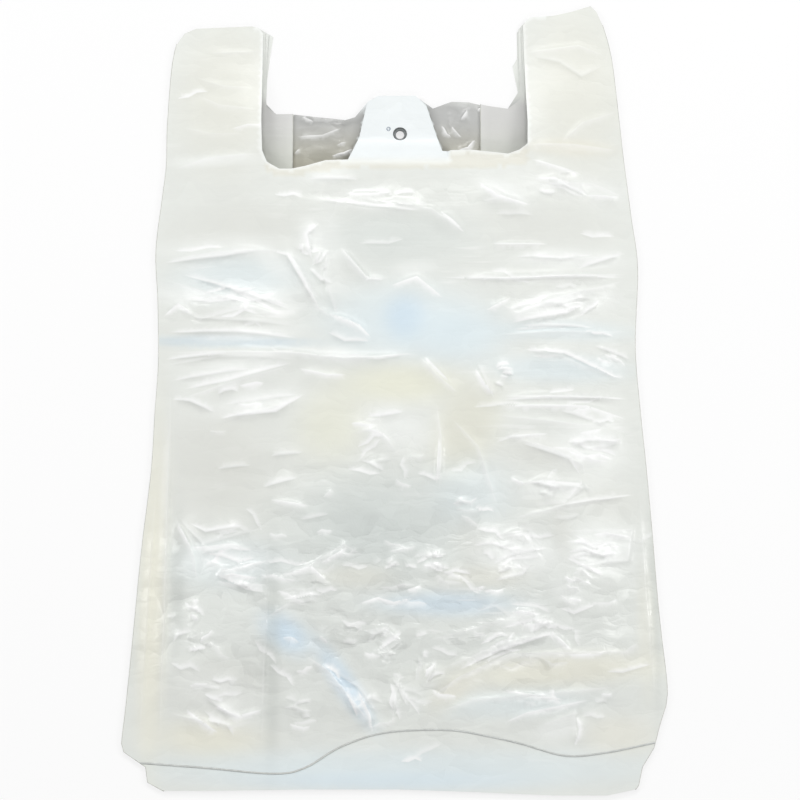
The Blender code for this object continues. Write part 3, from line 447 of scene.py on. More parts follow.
# Where thin level streaks run across it, which carry painted glints, in the same form.
STREAKED = [
    (1.00, 0.68, 0.700, 44, 46, 0),
    (0.80, -0.72, 0.740, 44, 40, 0),
    (0.80, 0.70, 0.560, 44, 18, 0),
    (0.60, 0.00, 0.940, 100, 10, 0),
    (0.60, -0.40, 0.340, 70, 30, 0),
    (0.60, 0.30, 0.290, 90, 26, 0),
    (0.45, 0.50, 0.180, 70, 16, 0),
    (0.35, 0.00, 0.850, 140, 20, 0),
]
SIDES = ((-1, "left"), (1, "right"))


def length(name, description, default):
    """A size in metres that a user can set."""
    return FloatProperty(name=name, description=description, default=default, precision=5, unit="LENGTH")


def colour(name, description, default):
    """A linear colour that a user can set."""
    return FloatVectorProperty(
        name=name, description=description, default=default, size=3, subtype="COLOR", min=0.0, max=1.0)


class BagSizes(bpy.types.PropertyGroup):
    """Sizes of the bag, as it is cut and welded."""

    face_width: length("Face width", "Width of the flat bag between its side folds", 0.300)
    body_height: length("Body height", "From the bottom edge to the front mouth", 0.389)
    handle_height: length("Handle height", "From the front mouth to a handle's top", 0.097)
    handle_width: length("Handle width", "Width of a handle as it lies flat", 0.061)
    left_gusset_depth: length("Left gusset depth", "How far the left gusset folds in", 0.081)
    right_gusset_depth: length("Right gusset depth", "How far the right gusset folds in", 0.098)
    back_mouth_rise: length("Back mouth rise", "How far the back's mouth is above the front's", 0.038)
    tab_height: length("Tab height", "Height of the hanging tab above the front mouth", 0.050)
    tab_base_width: length("Tab base width", "Width of the hanging tab at its foot", 0.060)
    tab_top_width: length("Tab top width", "Width of the hanging tab at its top", 0.034)
    tab_shift: length("Tab shift", "How far the tab's middle lies off the bag's middle", -0.003)
    hole_radius: length("Hole radius", "Radius of the hanging hole", 0.00425)
    hole_drop: length("Hole drop", "From the tab's top to the hole's middle", 0.0257)
    pin_radius: length("Pin weld radius", "Radius of the spot that joins the tab's layers", 0.0022)
    pin_aside: length("Pin weld offset", "How far the pin weld lies left of the hole", 0.0074)
    pin_above: length("Pin weld rise", "How far the pin weld lies above the hole", 0.0035)
    film: length("Film", "Thickness of the film as modelled", 0.00016)
    base_level: length("Base level", "Middle of the back panel's film above the table", 0.0002)
    pitch: length("Layer pitch", "Height from one layer of film to the next", 0.0008)
    air: length("Air", "How far the air in the bag lifts its front", 0.0092)
    weld_width: length("Weld width", "Width of the bottom weld", 0.0025)
    weld_bead: length("Weld bead", "Width of the melted bead along the bottom weld", 0.0011)
    weld_proud: length("Weld rise", "How far the bottom weld stands above the front's film", 0.0004)
    seal_width: length("Seal width", "Width of the seal along a handle's top", 0.0030)
    crimp_pitch: length("Crimp pitch", "Distance between the crimps of a weld", 0.0022)
    crimp_rise: length("Crimp rise", "Height of the crimps of a weld", 0.00005)


class FilmLook(bpy.types.PropertyGroup):
    """Colours and gloss of the film, the spacing of its points and the seed of its crumpling."""

    film_colour: colour("Film", "Colour of the film over white layers", (0.778, 0.798, 0.760))
    # The inside's colours are painted shade: the same film, darkened where it lies in the mouth.
    mouth_shade_colour: colour("Inside", "Colour of the single layer low in the mouth", (0.425, 0.412, 0.335))
    mouth_top_shade_colour: colour("Inside, top", "Colour of that layer at its top edge", (0.455, 0.46, 0.45))
    # The gusset's colours are painted shade in the mouth, as are the inside's.
    gusset_shade_colour: colour("Gusset", "Colour of a gusset seen in the mouth", (0.645, 0.66, 0.60))
    gusset_top_shade_colour: colour("Gusset, top", "Colour of a gusset at its top edge", (0.63, 0.63, 0.615))
    fold_colour: colour("Fold", "Colour of the film's rolled side folds", (0.60, 0.61, 0.56))
    edge_colour: colour("Cut edge", "Colour along a cut edge", (0.52, 0.53, 0.49))
    weld_colour: colour("Weld", "Colour of melted film", (0.57, 0.59, 0.57))
    seal_colour: colour("Seal", "Colour of a handle's seal", (0.70, 0.72, 0.68))
    rim_colour: colour("Hole rim", "Colour of the hanging hole's rim", (0.10, 0.11, 0.11))
    # The hole's wall and foot beads reach into the hole, dark as painted shade.
    hole_shade_colour: colour("Hole wall", "Colour of the layers melted round the hole", (0.24, 0.26, 0.26))
    pin_colour: colour("Pin weld", "Colour of the pin weld", (0.42, 0.47, 0.52))
    roughness: FloatProperty(
        name="Roughness", description="Roughness of the film", default=0.27, min=0.0, max=1.0)
    fine_step: length("Fine step", "Spacing of points where the film is crumpled", 0.00175)
    coarse_step: length("Coarse step", "Spacing of points where the film is smooth", 0.0029)
    layer_step: length("Layer step", "Spacing of points on the layers below", 0.0026)
    seed: IntProperty(name="Seed", description="Seed of the film's crumpling", default=11, min=0)


class StageLook(bpy.types.PropertyGroup):
    """Camera, light and floor."""

    distance: length("Distance", "From the camera to the bag", 1.05)
    tilt: FloatProperty(
        name="Tilt", description="How far the view leans from straight down",
        default=math.radians(10), subtype="ANGLE")
    lens: FloatProperty(name="Lens", description="Focal length", default=75.96, subtype="DISTANCE_CAMERA")
    sky: FloatProperty(name="Sky", description="Strength of the even light", default=0.42, min=0.0)
    key: FloatProperty(name="Key", description="Radiance of the soft boxes", default=14.0, min=0.0)
    floor_size: length("Floor size", "Side of the square floor", 4.0)


def smooth(value):
    """An eased step from 0 to 1."""
    value = np.clip(value, 0.0, 1.0)
    return value * value * (3.0 - 2.0 * value)


def curved(points, step):
    """A smooth curve through the points, sampled at about the given step."""
    points = [Vector(point) for point in points]
    ends = [points[0]] + points + [points[-1]]
    result = [points[0]]
    for before, start, end, after in zip(ends, ends[1:], ends[2:], ends[3:]):
        count = max(1, round((end - start).length / step))
        for index in range(1, count + 1):
            t = index / count
            result.append(
                before * ((-t ** 3 + 2 * t ** 2 - t) / 2) + start * ((3 * t ** 3 - 5 * t ** 2 + 2) / 2)
                + end * ((-3 * t ** 3 + 4 * t ** 2 + t) / 2) + after * ((t ** 3 - t ** 2) / 2))
    return [tuple(point) for point in result]


def between(path, low, high):
    """The points of a path whose x lies between two values."""
    return [point for point in path if low < point[0] < high]


def divided(route, step):
    """A path of straight runs, sampled at about the given step."""
    result = [tuple(route[0])]
    for start, end in zip(route, route[1:]):
        count = max(1, round(math.dist(start, end) / step))
        result += [tuple(Vector(start).lerp(Vector(end), (i + 1) / count)) for i in range(count)]
    return result


def offset(path, distance):
    """A path moved to its left side by a distance."""
    result = []
    for index, (x, y) in enumerate(path):
        near = path[max(0, index - 1)]
        far = path[min(len(path) - 1, index + 1)]
        along = Vector((far[0] - near[0], far[1] - near[1])).normalized()
        result.append((x - along.y * distance, y + along.x * distance))
    return result


def ring(centre, radius, count):
    """Points round a circle."""
    turns = [2 * math.pi * index / count for index in range(count)]
    return [(centre[0] + radius * math.cos(a), centre[1] + radius * math.sin(a)) for a in turns]


class BagShape:
    """The outlines and levels of the bag's layers, worked out from its sizes."""

    # Spacing of points along the edges and the weld, and points round the hole.
    EDGE_STEP = 0.006
    WELD_STEP = 0.004
    HOLE_SIDES = 40
    # Share of half the face width within which the weld keeps its own points.
    WELD_INNER = 0.9
    # How far from the sides and the weld the front reaches its full height, over which length it
    # sinks into the handles, and how far above the mouth that starts.
    SIDE_RUN = 0.058
    WELD_RUN = 0.075
    HANDLE_RUN = 0.075
    HANDLE_RISE = 0.010
    # Where the lower layers lose their painted shade and turn light in the handles, as a share of the
    # back mouth's rise, and over which height.
    HANDLE_FOOT = 1.1
    HANDLE_FADE = 0.012
    # How far the front drops towards its mouth, and over which width.
    LIP_DROP = 0.0012
    LIP_WIDTH = 0.009
    # The tab: how it runs down, pulls the front down, is lifted by the layers under it, and how
    # much room lies round it.
    TAB_RUN = 0.024
    TAB_PULL = 0.22
    TAB_PULL_REACH = 0.050
    TAB_LIFT = 0.0026
    TAB_LIFT_RUN = 0.040
    TAB_LIFT_FOOT = 0.3
    TAB_MARGIN = 0.0042

    def __init__(self, sizes):
        self.sizes = sizes
        self.reach = sizes.face_width / 2 - sizes.handle_width
        self.left_fold = self.side_fold(-1)
        self.right_fold = self.side_fold(1)
        mouth_level = sizes.body_height
        self.front_line = self.mouth(FRONT_MOUTH, mouth_level)
        self.back_line = self.mouth(BACK_MOUTH, mouth_level + sizes.back_mouth_rise)
        self.crest_line = self.mouth(MOUTH_CREST, mouth_level)
        self.weld_path = [(self.across(u), self.up(v)) for u, v in WELD_LINE]
        self.edge_path = [(self.across(u), self.up(v)) for u, v in BOTTOM_EDGE]
        self.hole = (0.0, mouth_level + sizes.tab_height - sizes.hole_drop)
        self.pin = (self.hole[0] - sizes.pin_aside, self.hole[1] + sizes.pin_above)
        self.back_level = sizes.base_level
        self.back_gusset_level = self.back_level + sizes.pitch
        self.front_gusset_level = self.back_gusset_level + sizes.pitch
        self.front_level = self.front_gusset_level + sizes.pitch
        self.tab_level = self.back_level + self.TAB_LIFT + sizes.pitch
        self.tab_lift_top = mouth_level + self.TAB_LIFT_FOOT * sizes.tab_height
        self.handle_foot = mouth_level + self.HANDLE_FOOT * sizes.back_mouth_rise
        outline = np.array(self.front_outline())
        self.shift = -(outline.min(0) + outline.max(0)) / 2

    def up(self, share):
        """The height of an outline point above the bottom edge."""
        if share <= 1.0:
            return share * self.sizes.body_height
        return self.sizes.body_height + (share - 1.0) * self.sizes.handle_height

    def across(self, share):
        """The x of an outline point."""
        return share * self.sizes.face_width / 2

    def outside(self, sign, points):
        """Outline points given as metres outside half the face width."""
        return [(sign * (self.sizes.face_width / 2 + out), self.up(v)) for out, v in points]

    def side_fold(self, sign):
        """One side fold, from the bottom edge to the top of the handle."""
        foot, side = (LEFT_FOOT, LEFT_SIDE) if sign < 0 else (RIGHT_FOOT, RIGHT_SIDE)
        return self.outside(sign, foot)[:-1] + curved(self.outside(sign, side), self.EDGE_STEP)

    def handle_top(self, sign):
        """The sealed top edge of one handle, from its outer corner inwards."""
        table = LEFT_TOP if sign < 0 else RIGHT_TOP
        return self.outside(sign, [(-share * self.sizes.handle_width, v) for share, v in table])

    def handle_inner(self, sign, layer):
        """The cut inner edge of one layer of a handle, from the top down."""
        table = (LEFT_INNER if sign < 0 else RIGHT_INNER)[layer]
        return [(sign * (self.reach - inside), self.up(v)) for inside, v in table]

    def between_handles(self, x):
        """Whether each x lies between the front layers of the handles."""
        left, right = (self.handle_inner(sign, "front")[-1][0] for sign in (-1, 1))
        return (x > left) & (x < right)

    def gusset_x(self, sign):
        """The x of a gusset's inner fold."""
        depth = self.sizes.left_gusset_depth if sign < 0 else self.sizes.right_gusset_depth
        return sign * (self.sizes.face_width / 2 - depth)

    def mouth(self, table, level):
        """An edge of the mouth, from left to right."""
        return [(share * self.reach, level + rise) for share, rise in table]

    def height_on(self, path, x):
        """The height of a left to right path above the given x."""
        xs, ys = zip(*path)
        return np.interp(x, xs, ys)

    def fold_x(self, path, y):
        """The x of a bottom to top path at the given height."""
        xs, ys = zip(*path)
        return np.interp(y, ys, xs)

    def tab_outline(self):
        """The hanging tab from its right foot over the top to its left foot."""
        sizes = self.sizes
        result = []
        for side, narrowing, rise in TAB_SHAPE:
            width = sizes.tab_base_width + narrowing * (sizes.tab_top_width - sizes.tab_base_width)
            result.append((sizes.tab_shift + side * width / 2, sizes.body_height + rise * sizes.tab_height))
        return result

    def panel_outline(self, layer, line, tab):
        """A panel, counter-clockwise from the left end of the bottom edge."""
        right = between(line, tab[0][0], self.sizes.face_width)
        left = between(line, -self.sizes.face_width, tab[-1][0])
        return (
            [self.left_fold[0]] + self.edge_path + self.right_fold + self.handle_top(1)
            + self.handle_inner(1, layer) + right[::-1] + tab + left[::-1]
            + self.handle_inner(-1, layer)[::-1] + self.handle_top(-1)[::-1] + self.left_fold[:0:-1]
        )

    def front_outline(self):
        """The front panel with its handles and tab."""
        return self.panel_outline("front", self.front_line, self.tab_outline())

    def back_outline(self):
        """The back panel, whose mouth is cut higher than the front panel's."""
        tab = [
            (x, y) for x, y in self.tab_outline() if y > self.height_on(self.back_line, x) + self.TAB_MARGIN]
        return self.panel_outline("back", self.back_line, tab)

    def gusset_fold(self, sign):
        """The inner fold of a gusset, from the bottom edge to the back mouth."""
        x = self.gusset_x(sign)
        low = self.height_on([self.left_fold[0]] + self.edge_path + [self.right_fold[0]], x)
        high = self.height_on(self.back_line, x)
        count = round((high - low) / (2 * self.EDGE_STEP))
        return [(x, low + (high - low) * index / count) for index in range(count + 1)]

    def gusset_outline(self, sign, layer):
        """One layer of a gusset."""
        fold = self.gusset_fold(sign)
        side = self.left_fold if sign < 0 else self.right_fold
        low, high = sorted((side[0][0], fold[0][0]))
        bottom = between(self.edge_path, low, high)
        low, high = sorted((fold[0][0], self.handle_inner(sign, layer)[-1][0]))
        top = between(self.back_line, low, high)
        if sign < 0:
            bottom = [side[0]] + bottom
            top = top[::-1]
        else:
            bottom = [side[0]] + bottom[::-1]
        return (
            bottom + fold + top + self.handle_inner(sign, layer)[::-1]
            + self.handle_top(sign)[::-1] + side[:0:-1]
        )

    def air_lift(self, x, y):
        """How far the air in the bag lifts the front panel."""
        side = np.minimum(x - self.fold_x(self.left_fold, y), self.fold_x(self.right_fold, y) - x)
        rise = smooth(side / self.SIDE_RUN)
        weld = self.height_on(self.weld_path, x) + self.sizes.weld_width / 2
        rise = rise * smooth((y - weld) / self.WELD_RUN)
        above = y - self.sizes.body_height
        rise = rise * (1.0 - smooth((above - self.HANDLE_RISE) / self.HANDLE_RUN))
        pull = np.exp(-(x / self.TAB_PULL_REACH) ** 2 - (above / self.TAB_PULL_REACH) ** 2)
        return self.sizes.air * rise * (1.0 - self.TAB_PULL * pull)

    def on_tab(self, x, y):
        """Whether each point lies on the hanging tab."""
        tab = self.tab_outline()
        left, right = tab[-1][0] - self.TAB_MARGIN, tab[0][0] + self.TAB_MARGIN
        return (y > self.height_on(self.crest_line, x)) & (x > left) & (x < right)

    def front_height(self, x, y):
        """The middle of the front panel's film without its creases."""
        height = self.front_level + self.air_lift(x, y)
        above = y - self.height_on(self.crest_line, x)
        lip = (above > 0) & (above < 2 * self.LIP_WIDTH) & self.between_handles(x)
        lip_height = height - self.LIP_DROP * np.minimum(1.0, above / self.LIP_WIDTH)
        tab_height = height + (self.tab_level - height) * smooth(above / self.TAB_RUN)
        return np.where(self.on_tab(x, y), tab_height, np.where(lip, lip_height, height))

    def back_height(self, x, y):
        """The middle of the back panel's film without its creases. It lies flat, apart from the tab."""
        sign = np.where(x > self.sizes.tab_shift, 1.0, -1.0)
        foot = self.sizes.tab_shift + sign * self.sizes.tab_base_width / 2
        fold = np.where(sign < 0, self.gusset_x(-1), self.gusset_x(1))
        lift = self.TAB_LIFT * smooth((y - self.tab_lift_top) / self.TAB_LIFT_RUN + 1.0)
        return self.back_level + lift * (1.0 - smooth((x - foot) / (fold - foot)))


def crossings(loop, x, y):
    """Whether each point lies in a loop."""
    inside = np.zeros(len(x), bool)
    for (x0, y0), (x1, y1) in zip(loop, loop[1:] + loop[:1]):
        if y0 != y1:
            inside ^= ((y0 > y) != (y1 > y)) & (x < x0 + (x1 - x0) * (y - y0) / (y1 - y0))
    return inside


def along_path(points, path):
    """Each point's distance from a path, its share of the way along it and the side it lies on."""
    away = np.full(len(points), np.inf)
    share = np.zeros(len(points))
    side = np.ones(len(points))
    steps = path[1:] - path[:-1]
    lengths = np.hypot(steps[:, 0], steps[:, 1])
    runs = np.concatenate([[0.0], np.cumsum(lengths)])
    for start, step, long, run in zip(path, steps, lengths, runs):
        way = np.clip((points - start) @ step / long ** 2, 0.0, 1.0)
        off = points - start - way[:, None] * step
        gap = np.hypot(off[:, 0], off[:, 1])
        near = gap < away
        away[near] = gap[near]
        share[near] = (run + way[near] * long) / runs[-1]
        side[near] = np.sign(step[0] * off[near, 1] - step[1] * off[near, 0])
    return away, share, side


def near_loop(points, loop):
    """Each point's distance from a loop."""
    path = np.array(loop + loop[:1])
    return along_path(points, path)[0]


def fields(points, shape, table):
    """The strength of soft elliptical fields at each point, one after another."""
    for strength, u, v, wide, high, turn in table:
        off = points - (shape.across(u), shape.up(v))
        c, s = math.cos(math.radians(turn)), math.sin(math.radians(turn))
        across = (off[:, 0] * c + off[:, 1] * s) / (wide / 1000)
        along = (off[:, 1] * c - off[:, 0] * s) / (high / 1000)
        yield strength * np.exp(-(across ** 2 + along ** 2) ** 1.5)


def crumple_at(points, shape):
    """How crumpled the film is at each point, from 0 to 1."""
    amount = np.full(len(points), LEAST_CRUMPLE)
    for field in fields(points, shape, CRUMPLED):
        amount = np.maximum(amount, field)
    for field in fields(points, shape, SMOOTH):
        amount *= 1.0 - field
    return amount


def streaks_at(points, shape):
    """How streaky the film is at each point, from 0 to 1."""
    return np.max(list(fields(points, shape, STREAKED)), axis=0)


class Crease:
    """A fold line in the film: where it runs, how high it is and which side falls away steeply."""

    STEP = 0.0016
    BESIDE = 0.0008
    # Width of each flank as a share of the half width, and how hollow both are.
    SHORT_FLANK = 0.50
    LONG_FLANK = 2.2
    HOLLOW = 1.35
    # Share of the length over which the fold and its glint die out at each end.
    FOLD_END = 0.30
    GLINT_END = 0.12
    # The painted glint's half width at its tips and on the steep flank, and how far it stays full.
    TIP = 0.0004
    STEEP_GLINT = 0.35
    FULL = 1.25

    def __init__(self, route, height, width, steep_side, shine, leaf=0.45):
        self.path = np.array(divided(route, self.STEP))
        self.height = height
        self.width = width
        self.steep_side = steep_side
        self.shine = shine
        self.leaf = leaf * width

    def points(self):
        """Points on the fold line and close to both sides of it."""
        lines = [self.path, offset(self.path, self.BESIDE), offset(self.path, -self.BESIDE)]
        return [tuple(point) for line in lines for point in line]

    def raise_film(self, film):
        """Lift the film along the fold line. A leaf-shaped painted glint lies on the long flank; that flank
        gets painted highlight and the steep one painted shade.
        """
        reach = self.width * self.LONG_FLANK
        low, high = self.path.min(0) - reach, self.path.max(0) + reach
        near = np.flatnonzero(((film.points > low) & (film.points < high)).all(1))
        away, share, side = along_path(film.points[near], self.path)
        steep = side == self.steep_side
        flank = self.width * np.where(steep, self.SHORT_FLANK, self.LONG_FLANK)
        rise = np.clip(1.0 - away / flank, 0.0, None) ** self.HOLLOW
        from_end = np.minimum(share, 1.0 - share)
        fade = smooth(from_end / self.FOLD_END)
        film.z[near] += self.height * rise * fade
        # The painted glint, widest in the middle of the fold.
        swell = self.leaf * np.sin(np.pi * share) * film.rng.uniform(0.7, 1.2, len(near)) + self.TIP
        leaf = np.where(steep, self.STEEP_GLINT * self.BESIDE, swell)
        glint = np.clip(self.FULL - away / leaf, 0.0, 1.0)
        film.glint[near] = np.maximum(
            film.glint[near], self.shine * smooth(from_end / self.GLINT_END) * glint)
        # Painted highlight on the long flank, painted shade on the steep one.
        film.painted_flank_shading[near] += self.shine * fade * rise ** 1.5 * np.where(steep, -0.5, 0.7)


def table_creases(table, shape, shine=1.0):
    """The folds of a table. A higher one shines more."""
    return [
        Crease([(shape.across(u), shape.up(v)) for u, v in route], height / 1000, abs(width) / 1000,
               math.copysign(1.0, width), shine * np.clip(0.1 + 0.45 * height, 0.0, 1.0))
        for height, width, route in table
    ]


def bundled_creases(rng, table, shape):
    """Short folds side by side in bundles. A fan turns each fold a little more than the last."""
    made = []
    for count, u, v, depth, long, turn, fan, height, width in table:
        middle = np.array([shape.across(u), shape.up(v)])
        leaning = rng.choice((-1.0, 1.0))
        for index in range(count):
            share = 2 * (index + 0.5) / count - 1.0 + rng.uniform(-1.0, 1.0) / count
            angle = math.radians(turn + fan * share + rng.normal(0.0, 9.0))
            along = np.array([math.cos(angle), math.sin(angle)])
            aside = np.array([-along[1], along[0]])
            slid = rng.uniform(-0.35, 0.35) * long
            start = middle + (aside * share * depth + along * slid) / 1000
            half = rng.uniform(0.15, 0.60) * long / 1000
            bends = rng.uniform(-0.20, 0.20, 4) * half
            route = [tuple(start + along * half * way + aside * bend)
                     for way, bend in zip((-1.0, -0.3, 0.4, 1.0), bends)]
            made.append(Crease(
                route, rng.uniform(0.4, 1.1) * height / 1000, rng.uniform(0.6, 1.2) * width / 1000,
                leaning if rng.random() < 0.75 else -leaning, rng.uniform(0.15, 1.0), 0.6))
    return made


def random_creases(rng, outline, weight, count, heights, widths, lengths, spread):
    """Random short creases, most where the weight is high. spread is their turn off level."""
    low, high = np.min(outline, axis=0), np.max(outline, axis=0)
    made = []
    while len(made) < count:
        middle = rng.uniform(low, high)
        if rng.random() > weight(middle[None])[0]:
            continue
        turn = rng.normal(0.0, spread)
        half = rng.uniform(*lengths) / 2
        along = np.array([math.cos(turn), math.sin(turn)])
        aside = np.array([-along[1], along[0]])
        bends = rng.uniform(-0.22, 0.22, 4) * half
        route = [tuple(middle + along * half * way + aside * bend)
                 for way, bend in zip((-1.0, -0.3, 0.3, 1.0), bends)]
        made.append(Crease(route, rng.uniform(*heights), rng.uniform(*widths), rng.choice((-1.0, 1.0)),
                           rng.uniform(0.2, 0.95), 0.7))
    return made


class Film:
    """One layer of film as points in the plane, joined into triangles, with their heights.

    Its spacing lists the steps between points and where each step holds.
    """

    # Clear strip along the edge and play of the scattered points, as shares of their step.
    BORDER = 0.45
    PLAY = 0.18
    # Height of a row of an even triangular grid, as a share of its step.
    ROW = 0.866
    # Play of the facets' corners, as a share of a facet's size.
    FACET_PLAY = 0.42
    # Least distances between points on folds, and from them to scattered points.
    CROWDED = 0.0006
    BESIDE_CREASE = 0.0011
    # Painted light: how far long flanks turn white as painted highlight, steep ones grey as painted shade,
    # and how bright painted glints are.
    FLANK_HIGHLIGHT = 0.55
    FLANK_SHADE = 0.30
    GLINT_HIGHLIGHT = 0.90

    def __init__(self, outline, holes, spacing, seed, creases=()):
        self.rng = np.random.default_rng(seed)
        finest = min(step for step, _ in spacing)
        loops = [divided(loop + loop[:1], finest)[:-1] for loop in [outline] + holes]
        points = [point for loop in loops for point in loop]
        edges = []
        for loop in loops:
            first = len(edges)
            edges += [(first + index, first + (index + 1) % len(loop)) for index in range(len(loop))]
        inner = np.concatenate([self.scattered(loops, step, where) for step, where in spacing])
        if creases:
            folds = self.thinned([point for crease in creases for point in crease.points()])
            folds = folds[self.clear_of(loops, folds, 2 * self.CROWDED)]
            tree = KDTree(len(folds))
            for index, (x, y) in enumerate(folds.tolist()):
                tree.insert((x, y, 0.0), index)
            tree.balance()
            apart = np.array([tree.find((x, y, 0.0))[2] for x, y in inner.tolist()])
            inner = np.concatenate([inner[apart > self.BESIDE_CREASE], folds])
        points = np.concatenate([np.array(points), inner])
        found, _, faces, _, _, _ = delaunay_2d_cdt(
            [Vector(point) for point in points.tolist()], edges, [], 1, 1e-7)
        self.points = np.array([tuple(point) for point in found])
        faces = np.array(faces)
        middle = self.points[faces].mean(1)
        keep = np.ones(len(faces), bool)
        for loop in holes:
            keep &= ~crossings(loop, middle[:, 0], middle[:, 1])
        self.faces = faces[keep]
        self.x, self.y = self.points.T
        self.z = np.zeros(len(self.points))
        self.glint = np.zeros(len(self.points))
        self.painted_flank_shading = np.zeros(len(self.points))
        for crease in creases:
            crease.raise_film(self)

    def thinned(self, points):
        """The points without those that crowd an earlier one."""
        kept = {}
        for x, y in points:
            column, row = math.floor(x / self.CROWDED), math.floor(y / self.CROWDED)
            around = [(column + i, row + j) for i in (-1, 0, 1) for j in (-1, 0, 1)]
            if all(math.dist((x, y), kept[cell]) > self.CROWDED for cell in around if cell in kept):
                kept[column, row] = (x, y)
        return np.array(list(kept.values()))

    @staticmethod
    def clear_of(loops, points, gap):
        """Whether each point lies inside the outline, outside the holes and clear of their edges."""
        keep = crossings(loops[0], points[:, 0], points[:, 1])
        keep &= near_loop(points, loops[0]) > gap
        for loop in loops[1:]:
            keep &= ~crossings(loop, points[:, 0], points[:, 1])
            keep &= near_loop(points, loop) > gap
        return keep

    def scattered(self, loops, step, where):
        """Points on a loose triangular grid inside the outline and outside the holes."""
        low, high = np.min(loops[0], axis=0), np.max(loops[0], axis=0)
        rows = int((high[1] - low[1]) / (step * self.ROW)) + 1
        columns = int((high[0] - low[0]) / step) + 2
        row, column = np.mgrid[0:rows, 0:columns]
        points = np.stack([column + 0.5 * (row % 2), row * self.ROW], axis=-1).reshape(-1, 2) * step + low
        points += self.rng.uniform(-self.PLAY, self.PLAY, points.shape) * step
        if where is not None:
            points = points[where(points)]
        return points[self.clear_of(loops, points, self.BORDER * step)]

    def facets(self, wide, high, turn=0.0):
        """A random faceted surface of flat triangles, from -1 to 1, as crumpled film makes."""
        c, s = math.cos(turn), math.sin(turn)
        flat = np.stack([(self.x * c + self.y * s) / wide, (self.y * c - self.x * s) / high], axis=-1)
        low, size = flat.min(0) - 2.0, flat.max(0) - flat.min(0) + 4.0
        rows, columns = int(size[1]) + 1, int(size[0]) + 1
        row, column = np.mgrid[0:rows, 0:columns]
        nodes = np.stack([column + 0.5 * (row % 2), row], axis=-1).reshape(-1, 2) + low
        nodes += self.rng.uniform(-self.FACET_PLAY, self.FACET_PLAY, nodes.shape)
        heights = self.rng.uniform(-1.0, 1.0, len(nodes))
        found, _, faces, origins, _, _ = delaunay_2d_cdt(
            [Vector(node) for node in nodes.tolist()], [], [], 0, 1e-7)
        corners = [(p.x, p.y, heights[o[0]]) for p, o in zip(found, origins)]
        tree = BVHTree.FromPolygons(corners, faces)
        down = Vector((0.0, 0.0, -1.0))
        hits = [tree.ray_cast(Vector((x, y, 2.0)), down)[0] for x, y in flat.tolist()]
        return np.array([hit.z if hit else 0.0 for hit in hits])

    def with_painted_sheen(self, tint):
        """The tint with painted light: painted glints on the creases, painted highlight on their long flanks
        and painted shade below them.
        """
        tint = blended(tint, PALETTE["white"], self.FLANK_HIGHLIGHT * np.clip(self.painted_flank_shading, 0.0, 1.0))
        tint = blended(tint, PALETTE["slate"], self.FLANK_SHADE * np.clip(-self.painted_flank_shading, 0.0, 1.0))
        return blended(tint, PALETTE["glint"], self.GLINT_HIGHLIGHT * self.glint)

    def build(self, name, shape, finishes, thickness, tint, crumple, streaks):
        """Make the mesh object, with colour, crumpling and streaks as attributes and a wall of film."""
        corners = np.column_stack([self.x + shape.shift[0], self.y + shape.shift[1], self.z])
        mesh = bpy.data.meshes.new(name)
        mesh.from_pydata(corners.tolist(), [], self.faces.tolist())
        mesh.shade_smooth()
        sharpen_border(mesh)
        colours = mesh.color_attributes.new("tint", "FLOAT_COLOR", "POINT")
        rgba = np.column_stack([tint, np.ones(len(tint))])
        colours.data.foreach_set("color", rgba.ravel().astype(np.float32))
        for label, values in (("crumple", crumple), ("streaks", streaks)):
            mesh.attributes.new(label, "FLOAT", "POINT")
            values = np.broadcast_to(values, len(tint)).astype(np.float32)
            mesh.attributes[label].data.foreach_set("value", values)
        for finish in finishes:
            mesh.materials.append(finish)
        piece = placed(name, mesh)
        thicken(piece, thickness).material_offset_rim = 1
        return piece


def thicken(piece, thickness):
    """Give a sheet a wall of film about its middle."""
    wall = piece.modifiers.new("film thickness", "SOLIDIFY")
    wall.thickness = thickness
    wall.offset = 0.0
    return wall


def sharpen_border(mesh):
    """Mark the border of an open mesh as sharp, so that its cut edge stays crisp in a wall."""
    used = np.zeros(len(mesh.loops), np.int32)
    mesh.loops.foreach_get("edge_index", used)
    sharp = np.bincount(used, minlength=len(mesh.edges)) == 1
    mesh.attributes.new("sharp_edge", "BOOLEAN", "EDGE")
    mesh.attributes["sharp_edge"].data.foreach_set("value", sharp)


def placed(name, data):
    """A new object in the scene."""
    made = bpy.data.objects.new(name, data)
    bpy.context.scene.collection.objects.link(made)
    return made


def attach(piece):
    """The piece rides on the bag's body and stands for its solid."""
    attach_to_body(piece, BODY)
    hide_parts(NODE)


def blended(tint, shade, amount):
    """The tint moved towards a colour by an amount at each point."""
    return tint + (np.array(shade) - tint) * amount[:, None]


def lighter_handles(tint, film, shape, look):
    """The tint of a layer below the front one, whose painted shade gives way to the film's colour where it
    lies in a handle.
    """
    return blended(tint, look.film_colour, smooth((film.y - shape.handle_foot) / shape.HANDLE_FADE))


def blend_fields(tint, points, shape, table):
    """Mix soft fields of colour into the tint, one after another."""
    rows = [row[1:] for row in table]
    for (name, *_), amount in zip(table, fields(points, shape, rows)):
        tint = blended(tint, PALETTE[name], amount)
    return tint


